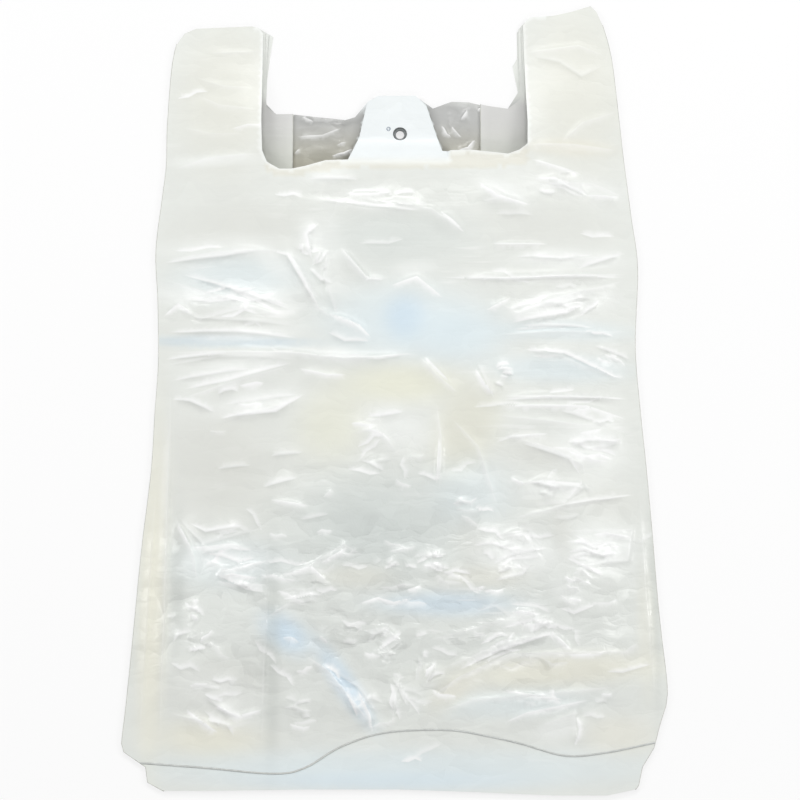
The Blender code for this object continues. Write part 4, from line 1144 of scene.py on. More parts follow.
class Wire:
    """One output of a tree's nodes. Arithmetic on it adds Math nodes."""

    def __init__(self, tree, socket=None):
        self.tree = tree
        self.socket = socket

    def node(self, kind, settings=(), values=(), output=0):
        """Add a node, set its settings, then its sockets' values or links, and give one output.

        An output of None is for a node that has none.
        """
        made = self.tree.nodes.new(kind)
        for name, value in dict(settings).items():
            setattr(made, name, value)
        for name, value in dict(values).items():
            if isinstance(value, Wire):
                self.tree.links.new(value.socket, made.inputs[name])
            else:
                made.inputs[name].default_value = value
        return None if output is None else Wire(self.tree, made.outputs[output])

    def math(self, operation, *values):
        """A Math node on these values."""
        return self.node("ShaderNodeMath", {"operation": operation}, enumerate(values))

    def __add__(self, other):
        return self.math("ADD", self, other)

    def __radd__(self, other):
        return self.math("ADD", other, self)

    def __sub__(self, other):
        return self.math("SUBTRACT", self, other)

    def __rsub__(self, other):
        return self.math("SUBTRACT", other, self)

    def __mul__(self, other):
        return self.math("MULTIPLY", self, other)

    def __rmul__(self, other):
        return self.math("MULTIPLY", other, self)

    def __truediv__(self, other):
        return self.math("DIVIDE", self, other)

    def __rtruediv__(self, other):
        return self.math("DIVIDE", other, self)

    def __gt__(self, other):
        return self.math("GREATER_THAN", self, other)

    def __lt__(self, other):
        return self.math("LESS_THAN", self, other)

    def scaled(self, factors):
        """A vector with its parts multiplied."""
        return self.node("ShaderNodeVectorMath", {"operation": "MULTIPLY"}, {0: self, 1: factors})

    def times(self, factor):
        """A vector made longer by a factor."""
        return self.node("ShaderNodeVectorMath", {"operation": "SCALE"}, {0: self, "Scale": factor})

    def part(self, index):
        """One part of a vector."""
        return self.node("ShaderNodeSeparateXYZ", values={0: self}, output=index)

    def clamped(self):
        """The value kept between 0 and 1."""
        return self.node("ShaderNodeClamp", values={0: self})

    def moved(self, other):
        """A vector with another added."""
        return self.node("ShaderNodeVectorMath", {"operation": "ADD"}, {0: self, 1: other})

    def mixed(self, other, factor, blend="MIX"):
        """A colour mixed with another by a factor."""
        settings = {"data_type": "RGBA", "blend_type": blend}
        return self.node("ShaderNodeMix", settings, {0: factor, 6: self, 7: other}, output=2)

    def attribute(self, name, output="Fac"):
        """An attribute of the mesh."""
        return self.node("ShaderNodeAttribute", {"attribute_name": name}, output=output)

    def colour(self, shade):
        """One colour everywhere."""
        made = self.node("ShaderNodeRGB")
        made.socket.default_value = (*shade, 1.0)
        return made

    def noise(self, scale, detail, output=0):
        """Soft noise at this place."""
        values = {"Vector": self, "Scale": scale, "Detail": detail}
        return self.node("ShaderNodeTexNoise", values=values, output=output)

    def cells(self, scale):
        """The random colour of the cell that this place is in."""
        return self.node("ShaderNodeTexVoronoi", values={"Vector": self, "Scale": scale}, output="Color")

    def creased(self, scale):
        """Distance to the edges of those cells: flat facets that meet at sharp creases."""
        settings = {"feature": "DISTANCE_TO_EDGE"}
        return self.node("ShaderNodeTexVoronoi", settings, {"Vector": self, "Scale": scale})

    def bump(self, **more):
        """A normal tilted by this height in metres."""
        values = {"Strength": 1.0, "Distance": 1.0, "Height": self, **more}
        return self.node("ShaderNodeBump", values=values)


def new_material(name, colour, roughness):
    """A principled material with plain values, its first wire and its shader node."""
    material = bpy.data.materials.new(name)
    material.use_nodes = True
    shader = material.node_tree.nodes["Principled BSDF"]
    shader.inputs["Base Color"].default_value = (*colour, 1.0)
    shader.inputs["Roughness"].default_value = roughness
    shader.inputs["Specular IOR Level"].default_value = 0.5
    return material, Wire(material.node_tree), shader


def link(wire, fed, socket):
    """Feed a wire into one of a node's sockets."""
    wire.tree.links.new(wire.socket, fed.inputs[socket])


# Cells of the film's finish, per metre, and what centres their random colours.
PLATES = 62.0
CHIPS = 170.0
GRAINS = 520.0
CENTRED = (-0.5, -0.5, -0.5)
# How the cells are bent and stretched, and how far plates and chips tilt.
BENT = (0.016, 0.016, 0.0)
STRETCHED = (0.55, 1.35, 1.0)
PLATE_TILT = (0.22, 0.34, 0.0)
CHIP_TILT = (0.16, 0.28, 0.0)
# Tone of plates and chips where the film is crumpled, and of its mottling.
PLATE_TONE = 0.06
CHIP_TONE = 0.05
MOTTLE_TONE = 0.08
# Heights in metres: creases between plates, chips and grains, and streaks at most and at least.
PLATE_CREASE = 0.0010
CHIP_CREASE = 0.00030
GRAIN_CREASE = 0.00010
STREAK_RISE = 0.00040
LEAST_RISE = 0.00003
# The streaks' stretch, and the painted glints on them: colour, where they start and how bright they are.
DRAWN = (0.13, 1.5, 1.0)
GLINT_COLOUR = (0.97, 0.97, 0.96, 1.0)
GLINT_FROM = 0.60
PATCH_FROM = 0.50
GLINT = 0.8
# Gloss: the coat on crumpled film, its roughness, and what mottling and smooth film add to the
# roughness below it.
COAT = 0.4
COAT_ROUGHNESS = 0.16
MOTTLE_ROUGHNESS = 0.16
SMOOTH_ROUGHNESS = 0.22
# Cut and melted edges: roughness, and the tone and height of their cloudiness.
CUT_ROUGHNESS = 0.4
WELD_ROUGHNESS = 0.35
MELTED_ROUGHNESS = 0.3
CLOUD_TONE = 0.5
CLOUD_RISE = 0.0002


def film_material(look):
    """Thin glossy film: tinted by the layers below it and by painted shade and highlights, with creased
    plates and fine level streaks that carry painted glints.
    """
    material, tree, shader = new_material("tinted_film", look.film_colour, look.roughness)
    shader.inputs["Coat Roughness"].default_value = COAT_ROUGHNESS
    place = tree.node("ShaderNodeTexCoord", output="Object")
    normal = tree.node("ShaderNodeTexCoord", output="Normal")
    tint = tree.attribute("tint", "Color")
    crumple = tree.attribute("crumple")
    streaky = tree.attribute("streaks")

    # Colour: tinted on its upper side, with the painted shade and highlights of the tint, faintly mottled,
    # uneven where crumpled, with painted glints on the streaks.
    bent = place.moved(place.noise(45.0, 2.0, output=1).scaled(BENT))
    wide = bent.scaled(STRETCHED)
    plates, chips = wide.cells(PLATES), wide.cells(CHIPS)
    tone = plates.part(0) * PLATE_TONE + chips.part(0) * CHIP_TONE - (PLATE_TONE + CHIP_TONE) / 2
    mottle = place.noise(22.0, 3.0)
    shade = (mottle * MOTTLE_TONE + (1.0 - MOTTLE_TONE / 2)) * (crumple * tone + 1.0)
    lines = place.scaled(DRAWN).noise(130.0, 2.0)
    patches = ((place.noise(38.0, 1.0) - PATCH_FROM) * 6.0).clamped()
    # Painted glints: light streaks mixed into the colour where the film is streaky.
    glints = ((lines - GLINT_FROM) * 10.0).clamped() * patches * streaky * GLINT
    upper = normal.part(2) > 0.0
    colour = tree.colour(look.film_colour).mixed(tint, upper).mixed(shade, 1.0, "MULTIPLY")
    link(colour.mixed(GLINT_COLOUR, glints), shader, "Base Color")

    # Relief: plates and chips that tilt each their own way, creases between them, and streaks.
    tilt = plates.moved(CENTRED).scaled(PLATE_TILT)
    tilt = tilt.moved(chips.moved(CENTRED).scaled(CHIP_TILT)).times(crumple)
    facing = normal.moved(tilt)
    facing = facing.node("ShaderNodeVectorMath", {"operation": "NORMALIZE"}, {0: facing})
    folds = wide.creased(PLATES) * PLATE_CREASE + wide.creased(CHIPS) * CHIP_CREASE
    relief = crumple * (folds + bent.creased(GRAINS) * GRAIN_CREASE)
    relief = relief + lines * (streaky * STREAK_RISE + LEAST_RISE)
    link(relief.bump(Normal=facing), shader, "Normal")
    link((crumple * COAT).clamped(), shader, "Coat Weight")
    uneven = mottle * MOTTLE_ROUGHNESS + (1.0 - crumple) * SMOOTH_ROUGHNESS
    link(uneven + (look.roughness - MOTTLE_ROUGHNESS / 2), shader, "Roughness")
    return material


def edge_material(name, colour, roughness):
    """A cut or melted edge of film, a little cloudy."""
    material, tree, shader = new_material(name, colour, roughness)
    cloud = tree.node("ShaderNodeTexCoord", output="Object").noise(260.0, 3.0)
    tone = cloud * CLOUD_TONE + (1.0 - CLOUD_TONE / 2)
    link(tree.colour(colour).mixed(tone, 1.0, "MULTIPLY"), shader, "Base Color")
    link((cloud * CLOUD_RISE).bump(), shader, "Normal")
    return material


def film_finishes(look):
    """The finishes of a layer of film and of its cut edge, made once for all layers."""
    film = bpy.data.materials.get("tinted_film") or film_material(look)
    edge = bpy.data.materials.get("cut_film")
    return film, edge or edge_material("cut_film", look.edge_colour, CUT_ROUGHNESS)


def path_tree(name, sockets):
    """An empty tree for a path, and the wires of its named inputs."""
    tree = bpy.data.node_groups.new(name, "GeometryNodeTree")
    tree.interface.new_socket("Path", in_out="INPUT", socket_type="NodeSocketGeometry")
    for label, kind in sockets:
        tree.interface.new_socket(label, in_out="INPUT", socket_type=kind)
    tree.interface.new_socket("Mesh", in_out="OUTPUT", socket_type="NodeSocketGeometry")
    entry = Wire(tree).node("NodeGroupInput").socket.node
    return tree, {socket.name: Wire(tree, socket) for socket in entry.outputs if socket.name}


def finish_tree(mesh, material):
    """End a tree in real geometry with its material."""
    real = mesh.node("GeometryNodeRealizeInstances", values={"Geometry": mesh})
    done = real.node("GeometryNodeSetMaterial", values={"Geometry": real, "Material": material})
    done.node("NodeGroupOutput", values={"Mesh": done}, output=None)


def folded_edge_tree():
    """A strip of film that rolls round a fold from one layer to the next."""
    tree, wires = path_tree("Folded edge", [
        ("Gap", "NodeSocketFloat"), ("Start", "NodeSocketFloat"), ("Sides", "NodeSocketInt"),
        ("Material", "NodeSocketMaterial")])
    path = wires["Path"].node(
        "GeometryNodeSetCurveNormal", {"mode": "Z_UP"}, {"Curve": wires["Path"]})
    arc = path.node("GeometryNodeCurveArc", {"mode": "RADIUS"}, {
        "Resolution": wires["Sides"], "Radius": wires["Gap"] * 0.5,
        "Start Angle": wires["Start"], "Sweep Angle": math.pi})
    strip = path.node("GeometryNodeCurveToMesh", values={"Curve": path, "Profile Curve": arc})
    finish_tree(strip, wires["Material"])
    return tree


def crimped_weld_tree():
    """A flat bar of melted film along a path, its face crimped at an even pitch."""
    tree, wires = path_tree("Crimped weld", [
        ("Width", "NodeSocketFloat"), ("Height", "NodeSocketFloat"), ("Pitch", "NodeSocketFloat"),
        ("Rise", "NodeSocketFloat"), ("Material", "NodeSocketMaterial")])
    start = wires["Path"]
    step = wires["Pitch"] * 0.25
    fine = start.node(
        "GeometryNodeResampleCurve", {"mode": "LENGTH"}, {"Curve": start, "Length": step})
    path = start.node("GeometryNodeSetCurveNormal", {"mode": "Z_UP"}, {"Curve": fine})
    run = start.node("GeometryNodeSplineParameter", output="Length")
    path = start.node("GeometryNodeStoreNamedAttribute", {"data_type": "FLOAT", "domain": "POINT"}, {
        "Geometry": path, "Name": "run", "Value": run})
    profile = start.node("GeometryNodeCurvePrimitiveQuadrilateral", values={
        "Width": wires["Width"], "Height": wires["Height"]})
    bar = start.node("GeometryNodeCurveToMesh", values={
        "Curve": path, "Profile Curve": profile, "Fill Caps": True})
    run = start.node("GeometryNodeInputNamedAttribute", {"data_type": "FLOAT"}, {"Name": "run"})
    turns = run * (2 * math.pi) / wires["Pitch"]
    wave = turns.math("SINE", turns)
    lift = start.node("ShaderNodeCombineXYZ", values={"Z": wave * wires["Rise"]})
    bar = start.node("GeometryNodeSetPosition", values={"Geometry": bar, "Offset": lift})
    bar = start.node("GeometryNodeRemoveAttribute", values={"Geometry": bar, "Name": "run"})
    finish_tree(bar, wires["Material"])
    return tree


RIM_SIDES = 48
BEAD_SIDES = 10


def rolled_rim_tree():
    """A round bead of melted film about a point."""
    tree, wires = path_tree("Rolled rim", [
        ("Radius", "NodeSocketFloat"), ("Bead", "NodeSocketFloat"), ("Middle", "NodeSocketVector"),
        ("Material", "NodeSocketMaterial")])
    start = wires["Path"]
    circle = start.node("GeometryNodeCurvePrimitiveCircle", {"mode": "RADIUS"}, {
        "Resolution": RIM_SIDES, "Radius": wires["Radius"]})
    section = start.node("GeometryNodeCurvePrimitiveCircle", {"mode": "RADIUS"}, {
        "Resolution": BEAD_SIDES, "Radius": wires["Bead"]})
    bead = start.node("GeometryNodeCurveToMesh", values={"Curve": circle, "Profile Curve": section})
    bead = start.node("GeometryNodeTransform", values={"Geometry": bead, "Translation": wires["Middle"]})
    finish_tree(bead, wires["Material"])
    return tree


def grown(name, paths, tree, values):
    """A plain mesh object grown by a tree along paths of points."""
    curve = bpy.data.curves.new(name, "CURVE")
    curve.dimensions = "3D"
    for path in paths:
        spline = curve.splines.new("POLY")
        spline.points.add(len(path) - 1)
        for point, place in zip(spline.points, path):
            point.co = (*place, 1.0)
    source = placed(name + "_path", curve)
    grow = source.modifiers.new(tree.name, "NODES")
    grow.node_group = tree
    for item in tree.interface.items_tree:
        if item.in_out == "INPUT" and item.name in values:
            grow[item.identifier] = values[item.name]
    bpy.context.view_layer.update()
    evaluated = source.evaluated_get(bpy.context.evaluated_depsgraph_get())
    mesh = bpy.data.meshes.new_from_object(evaluated)
    source.modifiers.remove(grow)
    bpy.data.objects.remove(source)
    mesh.name = name
    mesh.shade_smooth()
    if not mesh.polygons:
        raise RuntimeError(f"{name} came out empty")
    return placed(name, mesh)


def raised(shape, path, height):
    """A path of the plane moved to the bag's place, at a height that may vary."""
    points = np.array(path)
    heights = np.broadcast_to(height, len(points))
    return np.column_stack([points + shape.shift, heights]).tolist()


def bag_settings(context):
    """The sizes and the look that are set in the scene, and the bag's shape."""
    sizes = context.scene.bag_sizes
    return sizes, context.scene.bag_film, BagShape(sizes)


def whole_weld_line(shape):
    """The bottom weld's line, whose ends are moved onto the side folds."""
    inner = [point for point in shape.weld_path if abs(point[0]) < shape.across(shape.WELD_INNER)]
    ends = []
    for fold, sign in ((shape.left_fold, -1), (shape.right_fold, 1)):
        level = float(shape.height_on(shape.weld_path, sign * shape.sizes.face_width / 2))
        ends.append((float(shape.fold_x(fold, level)), level))
    return curved([ends[0]] + inner + [ends[1]], shape.WELD_STEP)


class BAG_OT_welds(bpy.types.Operator):
    """Make the bottom weld and the seals of the handles"""

    bl_idname = "bag.welds"
    bl_label = "Welds"
    SEAL_INSET = 0.0003

    def execute(self, context):
        sizes, look, shape = bag_settings(context)
        melted = edge_material("melted_weld", look.weld_colour, WELD_ROUGHNESS)
        sealed = edge_material("melted_seal", look.seal_colour, MELTED_ROUGHNESS)
        tree = crimped_weld_tree()
        full = shape.front_level - sizes.film
        crimps = {"Pitch": sizes.crimp_pitch, "Rise": sizes.crimp_rise}
        level = shape.front_level + sizes.weld_proud - full / 2
        attach(grown("bottom_weld", [raised(shape, whole_weld_line(shape), level)], tree, {
            **crimps, "Height": full, "Width": sizes.weld_bead, "Material": melted}))
        level = (shape.back_level + full) / 2
        for sign, side in SIDES:
            fold = shape.left_fold if sign < 0 else shape.right_fold
            top = [fold[-1]] + shape.handle_top(sign) + [shape.handle_inner(sign, "front")[0]]
            line = offset(top, sign * (self.SEAL_INSET + sizes.seal_width / 2))
            attach(grown(f"{side}_handle_seal", [raised(shape, line, level)], tree, {
                **crimps, "Height": full - 2 * sizes.film, "Width": sizes.seal_width, "Material": sealed}))
        return {"FINISHED"}


class BAG_OT_hanging_hole(bpy.types.Operator):
    """Make the melted rim of the hanging hole, dark beads of painted shade inside it, and the pin weld
    beside it
    """

    bl_idname = "bag.hanging_hole"
    bl_label = "Hanging hole"

    def execute(self, context):
        sizes, look, shape = bag_settings(context)
        tree = rolled_rim_tree()
        hole, pin = (shape.hole, sizes.hole_radius), (shape.pin, sizes.pin_radius)
        # Each bead: its spot, share of the spot's radius, half thickness, drop below the tab, colour. The
        # wall and foot beads reach into the hole and are dark as painted shade.
        for name, (centre, radius), share, bead, drop, finish in (
            ("hanging_hole_rim", hole, 0.97, 0.00034, -0.0001, look.rim_colour),
            ("hanging_hole_shade_wall", hole, 0.84, 0.00060, 0.0008, look.hole_shade_colour),
            ("hanging_hole_shade_foot", hole, 0.78, 0.00070, 0.0019, look.hole_shade_colour),
            ("pin_weld", pin, 0.45, 0.00045, 0.0, look.pin_colour),
        ):
            melted = edge_material(name, finish, MELTED_ROUGHNESS)
            middle = (*(np.array(centre) + shape.shift), shape.tab_level - drop)
            path = [raised(shape, [centre, (centre[0] + radius, centre[1])], shape.tab_level)]
            attach(grown(name, path, tree, {
                "Radius": radius * share, "Bead": bead, "Middle": middle, "Material": melted}))
        return {"FINISHED"}


class BAG_OT_side_folds(bpy.types.Operator):
    """Make the rolled folds that join the panels to the gussets"""

    bl_idname = "bag.side_folds"
    bl_label = "Side folds"
    ROLL_SIDES = 9

    def execute(self, context):
        sizes, look, shape = bag_settings(context)
        rolled = edge_material("rolled_fold", look.fold_colour, MELTED_ROUGHNESS)
        tree = folded_edge_tree()
        half = sizes.pitch / 2
        for sign, side in SIDES:
            fold = shape.left_fold if sign < 0 else shape.right_fold
            outer = [raised(shape, fold, level + half) for level in
                     (shape.back_level, shape.front_gusset_level)]
            inner = [raised(shape, shape.gusset_fold(sign), shape.back_gusset_level + half)]
            for part, paths, way in (("side_folds", outer, sign), ("gusset_fold", inner, -sign)):
                piece = grown(f"{side}_{part}", paths, tree, {
                    "Gap": sizes.pitch, "Start": math.pi / 2 * (2 + way), "Sides": self.ROLL_SIDES,
                    "Material": rolled})
                thicken(piece, sizes.film)
                attach(piece)
        return {"FINISHED"}


class BAG_OT_gussets(bpy.types.Operator):
    """Make the two layers of each gusset"""

    bl_idname = "bag.gussets"
    bl_label = "Gussets"
    # Height and size of the facets, which die out towards the cut edge.
    RUMPLE_HEIGHT = 0.00022
    RUMPLE_SIZE = (0.012, 0.020)
    EDGE_RUN = 0.006
    # Crumpling and streaks of the finish.
    CRUMPLE = 0.12
    STREAKS = 0.1
    # The shadow beside the front and the light on the fold.
    SHADE_RUN = 0.005
    SHADOW = 0.08
    FOLD_LIGHT = 0.06

    def execute(self, context):
        sizes, look, shape = bag_settings(context)
        finishes = film_finishes(look)
        for sign, side in SIDES:
            for layer in ("front_gusset", "back_gusset"):
                outline = shape.gusset_outline(sign, layer)
                film = Film(outline, [], [(look.layer_step, None)], look.seed + 3)
                level = shape.front_gusset_level if layer == "front_gusset" else shape.back_gusset_level
                free = smooth(near_loop(film.points, outline) / self.EDGE_RUN)
                film.z = level + self.RUMPLE_HEIGHT * free * film.facets(*self.RUMPLE_SIZE)
                tint = self.tinted(film, shape, look, sign)
                piece = film.build(
                    f"{side}_{layer}", shape, finishes, sizes.film, tint, self.CRUMPLE, self.STREAKS)
                attach(piece)
                width, height = np.ptp(film.points, axis=0)
        return {"FINISHED"}

    def tinted(self, film, shape, look, sign):
        """A gusset's colour: painted shade of the mouth, greyer at its top, painted shadow under the front
        and painted light at its fold.
        """
        high = smooth((film.y - shape.sizes.body_height) / shape.sizes.back_mouth_rise)
        tint = blended(np.array(look.gusset_shade_colour), look.gusset_top_shade_colour, high)
        open_edge = shape.handle_inner(sign, "front")[-1][0]
        shadow = np.clip(1.0 - sign * (open_edge - film.x) / self.SHADE_RUN, 0.0, 1.0)
        fold = np.clip(1.0 - np.abs(shape.gusset_x(sign) - film.x) / self.SHADE_RUN, 0.0, 1.0)
        tint = tint * (1.0 - self.SHADOW * shadow + self.FOLD_LIGHT * fold)[:, None]
        return lighter_handles(tint, film, shape, look)


class BAG_OT_back_panel(bpy.types.Operator):
    """Make the back panel, seen in the mouth"""

    bl_idname = "bag.back_panel"
    bl_label = "Back panel"
    # How far below the front mouth the fine points and the rumpled part start.
    FINE_DEPTH = 0.030
    OPEN_DEPTH = 0.020
    # Over which lengths the rumpling grows: up from its start, off the gussets and off the edge.
    OPEN_RUN = 0.015
    GUSSET_RUN = 0.008
    EDGE_RUN = 0.004
    # Mean height of the rumpling, then the height and size of its large and fine facets.
    RUMPLE_MIDDLE = 0.00072
    RUMPLE_HEIGHT = 0.00064
    RUMPLE_SIZE = (0.018, 0.011)
    FINE_HEIGHT = 0.0002
    FINE_SIZE = (0.007, 0.004)
    # Crumpling of the finish: everywhere, and more, with streaks, where the film is rumpled.
    CRUMPLE = 0.12
    MORE_CRUMPLE = 0.35
    # The shadow of the mouth's rolled edge: its middle, half lengths and depth of colour.
    ROLL_MIDDLE = (-0.046, -0.0030)
    ROLL_REACH = (0.020, 0.0018)
    ROLL_SHADE = 0.30
    # The light towards the right, the shadow round the tab and the tab's white.
    LIGHT = 0.10
    LIGHT_FROM = 0.02
    LIGHT_RUN = 0.04
    TAB_SHADE = 0.28
    TAB_SHADE_RUN = 0.006
    TAB_WHITE_RUN = 0.009

    def execute(self, context):
        sizes, look, shape = bag_settings(context)
        outline = shape.back_outline()
        hole = ring(shape.hole, sizes.hole_radius, shape.HOLE_SIDES)
        low = sizes.body_height - self.FINE_DEPTH
        spacing = [
            (look.fine_step, lambda p: p[:, 1] > low), (look.layer_step, lambda p: p[:, 1] <= low)]
        film = Film(outline, [hole], spacing, look.seed + 5, table_creases(BACK_CREASES, shape))
        rumple = self.rumpled(film, shape)
        film.z += rumple * (self.RUMPLE_MIDDLE + self.RUMPLE_HEIGHT * film.facets(*self.RUMPLE_SIZE))
        film.z += rumple * self.FINE_HEIGHT * film.facets(*self.FINE_SIZE)
        film.z = np.maximum(film.z, 0.0) * smooth(near_loop(film.points, outline) / self.EDGE_RUN)
        film.z += shape.back_height(film.x, film.y)
        piece = film.build(
            "back_panel", shape, film_finishes(look), sizes.film, self.tinted(film, shape, look),
            self.CRUMPLE + self.MORE_CRUMPLE * rumple, self.MORE_CRUMPLE * rumple)
        attach(piece)
        width, height = np.ptp(film.points, axis=0)
        return {"FINISHED"}

    def rumpled(self, film, shape):
        """How rumpled the panel is: fully in the open mouth between the gussets, beside the tab."""
        open_part = smooth((film.y - shape.sizes.body_height + self.OPEN_DEPTH) / self.OPEN_RUN)
        off_left = smooth((film.x - shape.gusset_x(-1)) / self.GUSSET_RUN)
        off_right = smooth((shape.gusset_x(1) - film.x) / self.GUSSET_RUN)
        return open_part * off_left * off_right * ~shape.on_tab(film.x, film.y)

    def tinted(self, film, shape, look):
        """The back panel's colour: grey as painted shade in the mouth, with painted shadows and light, and
        white on the tab.
        """
        high = smooth((film.y - shape.sizes.body_height) / shape.sizes.back_mouth_rise)
        tint = blended(np.array(look.mouth_shade_colour), look.mouth_top_shade_colour, high)
        tint = tint * (1.0 + self.LIGHT * smooth((film.x - self.LIGHT_FROM) / self.LIGHT_RUN))[:, None]
        rise = film.y - shape.height_on(shape.back_line, film.x)
        rolled = 1.0
        for place, middle, reach in zip((film.x, rise), self.ROLL_MIDDLE, self.ROLL_REACH):
            rolled = rolled * np.exp(-((place - middle) / reach) ** 2)
        beside_tab = near_loop(film.points, shape.tab_outline()) / self.TAB_SHADE_RUN
        shadow = self.TAB_SHADE * np.clip(1.0 - beside_tab, 0.0, 1.0) + self.ROLL_SHADE * rolled
        tint = tint * (1.0 - shadow)[:, None]
        tint = lighter_handles(film.with_painted_sheen(tint), film, shape, look)
        on_tab = shape.on_tab(film.x, film.y) * smooth(rise / self.TAB_WHITE_RUN)
        white = np.maximum(crossings(shape.tab_outline(), film.x, film.y), on_tab)
        return blended(tint, PALETTE["cool white"], white)


class BAG_OT_front_panel(bpy.types.Operator):
    """Make the front panel with its creases, handles and hanging tab"""

    bl_idname = "bag.front_panel"
    bl_label = "Front panel"
    # Crumpling above which the points are close together.
    FINE_FROM = 0.22
    # Random folds: how many, heights, half widths, lengths and turn off level in radians.
    SMALL_FOLDS = (80, (0.0003, 0.0008), (0.0024, 0.0042), (0.006, 0.020), 0.5)
    LEVEL_FOLDS = (40, (0.0002, 0.0006), (0.0018, 0.0030), (0.010, 0.034), 0.10)
    # The crumpling from which small folds lie, and the chance of a level fold off the streaks.
    SMALL_FROM = 0.12
    LEVEL_CHANCE = 0.02
    # How much the main folds and the pleats shine beside the glossiest ones.
    MAIN_SHINE = 0.4
    PLEAT_SHINE = 0.2
    # Facets of the crumpled film: height, then size and turn.
    LARGE_FACETS = (0.0010, (0.026, 0.015, 0.2))
    SMALL_FACETS = (0.00055, (0.012, 0.0075, -0.3))
    # Facets everywhere, in the same form.
    LONG_FACETS = (0.00030, (0.046, 0.012, 0.05))
    # How far from the edge and the weld the film lies flat, and how flat the tab and skirt are.
    EDGE_RUN = 0.004
    WELD_RUN = 0.005
    TAB_SHARE = 0.25
    SKIRT_SHARE = 0.5
    # The lip at the mouth, the tab's white and the light rim along the handles and mouth.
    LIP_FROM = 0.0005
    LIP_CREAM = 0.6
    TAB_WHITE_RUN = 0.010
    RIM_REACH = 0.0056
    RIM_WIDTH = 0.00112
    RIM_WHITE = 0.8
    # Crumpling of the finish everywhere, how much more lies where the film is crumpled, and the
    # least streaks.
    CRUMPLE = 0.10
    MORE_CRUMPLE = 0.9
    STREAKS = 0.12

    def execute(self, context):
        sizes, look, shape = bag_settings(context)
        outline = shape.front_outline()
        hole = ring(shape.hole, sizes.hole_radius, shape.HOLE_SIDES)
        spacing = [
            (look.fine_step, lambda p: crumple_at(p, shape) > self.FINE_FROM),
            (look.coarse_step, lambda p: crumple_at(p, shape) <= self.FINE_FROM)]
        film = Film(outline, [hole], spacing, look.seed, self.creases(outline, shape, look.seed))
        crumple = crumple_at(film.points, shape)
        for share, (height, size) in (
            (crumple, self.LARGE_FACETS), (crumple, self.SMALL_FACETS), (1.0, self.LONG_FACETS),
        ):
            film.z += share * height * film.facets(*size)
        film.z *= smooth(near_loop(film.points, outline) / self.EDGE_RUN)
        weld = np.abs(film.y - shape.height_on(whole_weld_line(shape), film.x))
        film.z *= smooth(weld / self.WELD_RUN)
        film.z *= np.where(shape.on_tab(film.x, film.y), self.TAB_SHARE, 1.0)
        skirt = film.y < shape.height_on(shape.weld_path, film.x)
        film.z *= np.where(skirt, self.SKIRT_SHARE, 1.0)
        film.z += shape.front_height(film.x, film.y)
        tint = film.with_painted_sheen(self.tinted(film, shape, look))
        piece = film.build(
            "front_panel", shape, film_finishes(look), sizes.film, tint,
            self.CRUMPLE + self.MORE_CRUMPLE * crumple, self.STREAKS + streaks_at(film.points, shape))
        attach(piece)
        width, height = np.ptp(film.points, axis=0)
        return {"FINISHED"}

    def creases(self, outline, shape, seed):
        """All folds: the listed ones, the bundles and the random ones."""
        rng = np.random.default_rng(seed)
        made = table_creases(FRONT_CREASES, shape, self.MAIN_SHINE)
        made += table_creases(PLEATS, shape, self.PLEAT_SHINE)
        made += table_creases(GLOSSY_FOLDS, shape)
        made += bundled_creases(rng, BUNDLES, shape)
        made += random_creases(
            rng, outline, lambda p: np.clip(crumple_at(p, shape) - self.SMALL_FROM, 0, 1),
            *self.SMALL_FOLDS)
        made += random_creases(
            rng, outline, lambda p: self.LEVEL_CHANCE + streaks_at(p, shape), *self.LEVEL_FOLDS)
        return made

    def tinted(self, film, shape, look):
        """The front panel's colour: soft fields, some of them painted shadow and highlights, a cream lip, a
        whiter tab and a light rim.
        """
        tint = np.tile(look.film_colour, (len(film.points), 1))
        tint = blend_fields(tint, film.points, shape, FRONT_FIELDS)
        above = film.y - shape.height_on(shape.crest_line, film.x)
        lip = (above > self.LIP_FROM) & shape.between_handles(film.x)
        tint = blended(tint, PALETTE["lip"], self.LIP_CREAM * lip)
        tab = shape.on_tab(film.x, film.y) * smooth(above / self.TAB_WHITE_RUN)
        tint = blended(tint, PALETTE["cool white"], tab)
        rim = (np.abs(film.x) < shape.reach + self.RIM_REACH) & (above > -self.RIM_REACH) & (tab == 0)
        near = np.exp(-(near_loop(film.points, shape.front_outline()) / self.RIM_WIDTH) ** 2)
        return blended(tint, PALETTE["white"], self.RIM_WHITE * rim * near)


def seen_directly(tree):
    """1 for rays that show the background: from the camera, in a reflection or through glass."""
    total = tree.node("ShaderNodeLightPath", output="Is Camera Ray")
    for name in ("Is Glossy Ray", "Is Transmission Ray"):
        total = total + tree.node("ShaderNodeLightPath", output=name)
    return total.math("MINIMUM", total, 1.0)


FLOOR_COLOUR = (0.95, 0.95, 0.95)
FLOOR_ROUGHNESS = 0.9
FLOOR_GLOW = 0.72


def stage_material():
    """A white floor that glows where it is seen, so that it is bright and still takes shadows."""
    material, tree, shader = new_material("pale_floor", FLOOR_COLOUR, FLOOR_ROUGHNESS)
    shader.inputs["Specular IOR Level"].default_value = 0.0
    seen = seen_directly(tree)
    glow = tree.node("ShaderNodeEmission", values={"Color": (1.0, 1.0, 1.0, 1.0), "Strength": 1.0})
    plain = Wire(material.node_tree, shader.outputs[0])
    both = tree.node("ShaderNodeMixShader", values={0: seen * FLOOR_GLOW, 1: plain, 2: glow})
    link(both, material.node_tree.nodes["Material Output"], "Surface")
    return material


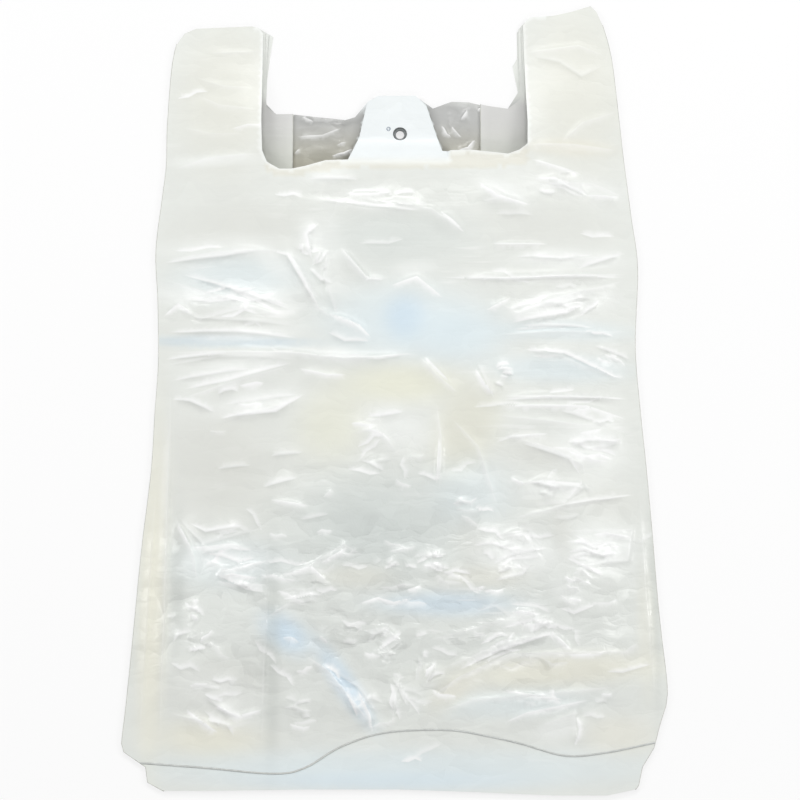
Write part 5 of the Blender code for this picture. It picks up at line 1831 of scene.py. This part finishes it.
class BAG_OT_stage(bpy.types.Operator):
    """Make the floor, the light and the camera"""

    bl_idname = "bag.stage"
    bl_label = "Stage"
    # Soft boxes: degrees to the right and away from straight up, sides in metres, share of the key.
    SOFT_BOXES = (
        ("far_softbox", (0.0, 46.0), (0.80, 0.24), 1.00),
        ("right_softbox", (52.0, 10.0), (0.24, 0.60), 1.00),
        ("left_softbox", (-52.0, 14.0), (0.22, 0.60), 0.90),
        ("near_softbox", (8.0, -50.0), (0.50, 0.16), 0.80),
    )
    BOX_DISTANCE = 1.6
    # The point in the middle of the view.
    AIM = (0.0029, -0.0102, 0.005)
    # Width of the camera's sensor in millimetres.
    SENSOR = 36.0

    def execute(self, context):
        stage = context.scene.bag_stage
        half = stage.floor_size / 2
        mesh = bpy.data.meshes.new("floor")
        corners = [(-half, -half, 0), (half, -half, 0), (half, half, 0), (-half, half, 0)]
        mesh.from_pydata(corners, [], [(0, 1, 2, 3)])
        mesh.materials.append(stage_material())
        floor = placed("floor", mesh)
        self.light(context, stage)
        self.camera(context, stage)
        context.scene.view_settings.view_transform = "Standard"
        return {"FINISHED"}

    def light(self, context, stage):
        world = bpy.data.worlds.new("even_light")
        context.scene.world = world
        world.use_nodes = True
        tree = Wire(world.node_tree)
        sky = world.node_tree.nodes["Background"]
        sky.inputs["Color"].default_value = (1.0, 1.0, 1.0, 1.0)
        seen = seen_directly(tree)
        link(seen * (1.0 - stage.sky) + stage.sky, sky, "Strength")
        for name, (right, far), (wide, high), share in self.SOFT_BOXES:
            away = Vector((math.tan(math.radians(right)), math.tan(math.radians(far)), 1.0))
            lamp = bpy.data.lights.new(name, "AREA")
            lamp.shape = "RECTANGLE"
            lamp.size, lamp.size_y = wide, high
            lamp.energy = stage.key * share * wide * high * math.pi
            box = placed(name, lamp)
            box.location = away.normalized() * self.BOX_DISTANCE
            box.rotation_euler = away.to_track_quat("Z", "Y").to_euler()

    def camera(self, context, stage):
        data = bpy.data.cameras.new("camera")
        data.lens = stage.lens
        data.sensor_width = self.SENSOR
        camera = placed("camera", data)
        back = Vector((0.0, -math.sin(stage.tilt), math.cos(stage.tilt)))
        camera.location = Vector(self.AIM) + back * stage.distance
        camera.rotation_euler = (stage.tilt, 0.0, 0.0)
        context.scene.camera = camera


class BAG_PT_panel(bpy.types.Panel):
    """Lists the steps that make the bag"""

    bl_idname = "BAG_PT_panel"
    bl_label = "Carrier bag"
    bl_space_type = "VIEW_3D"
    bl_region_type = "UI"
    bl_category = "Carrier bag"

    def draw(self, context):
        column = self.layout.column(align=True)
        for step in STEPS:
            column.operator(step.bl_idname)
        for group in GROUPS:
            settings = getattr(context.scene, GROUPS[group])
            box = self.layout.box()
            for name in group.__annotations__:
                box.prop(settings, name)


GROUPS = {BagSizes: "bag_sizes", FilmLook: "bag_film", StageLook: "bag_stage"}
STEPS = (
    BAG_OT_welds, BAG_OT_hanging_hole, BAG_OT_side_folds, BAG_OT_gussets, BAG_OT_back_panel,
    BAG_OT_front_panel, BAG_OT_stage,
)


def register():
    for group, name in GROUPS.items():
        bpy.utils.register_class(group)
        setattr(bpy.types.Scene, name, PointerProperty(type=group))
    for kind in STEPS + (BAG_PT_panel,):
        bpy.utils.register_class(kind)


def unregister():
    for kind in (BAG_PT_panel,) + STEPS[::-1]:
        bpy.utils.unregister_class(kind)
    for group, name in GROUPS.items():
        delattr(bpy.types.Scene, name)
        bpy.utils.unregister_class(group)


def main():
    register()
    bpy.ops.bag.welds()
    bpy.ops.bag.hanging_hole()
    bpy.ops.bag.side_folds()
    bpy.ops.bag.gussets()
    bpy.ops.bag.back_panel()
    bpy.ops.bag.front_panel()
    bpy.ops.bag.stage()


if __name__ == "__main__":
    main()
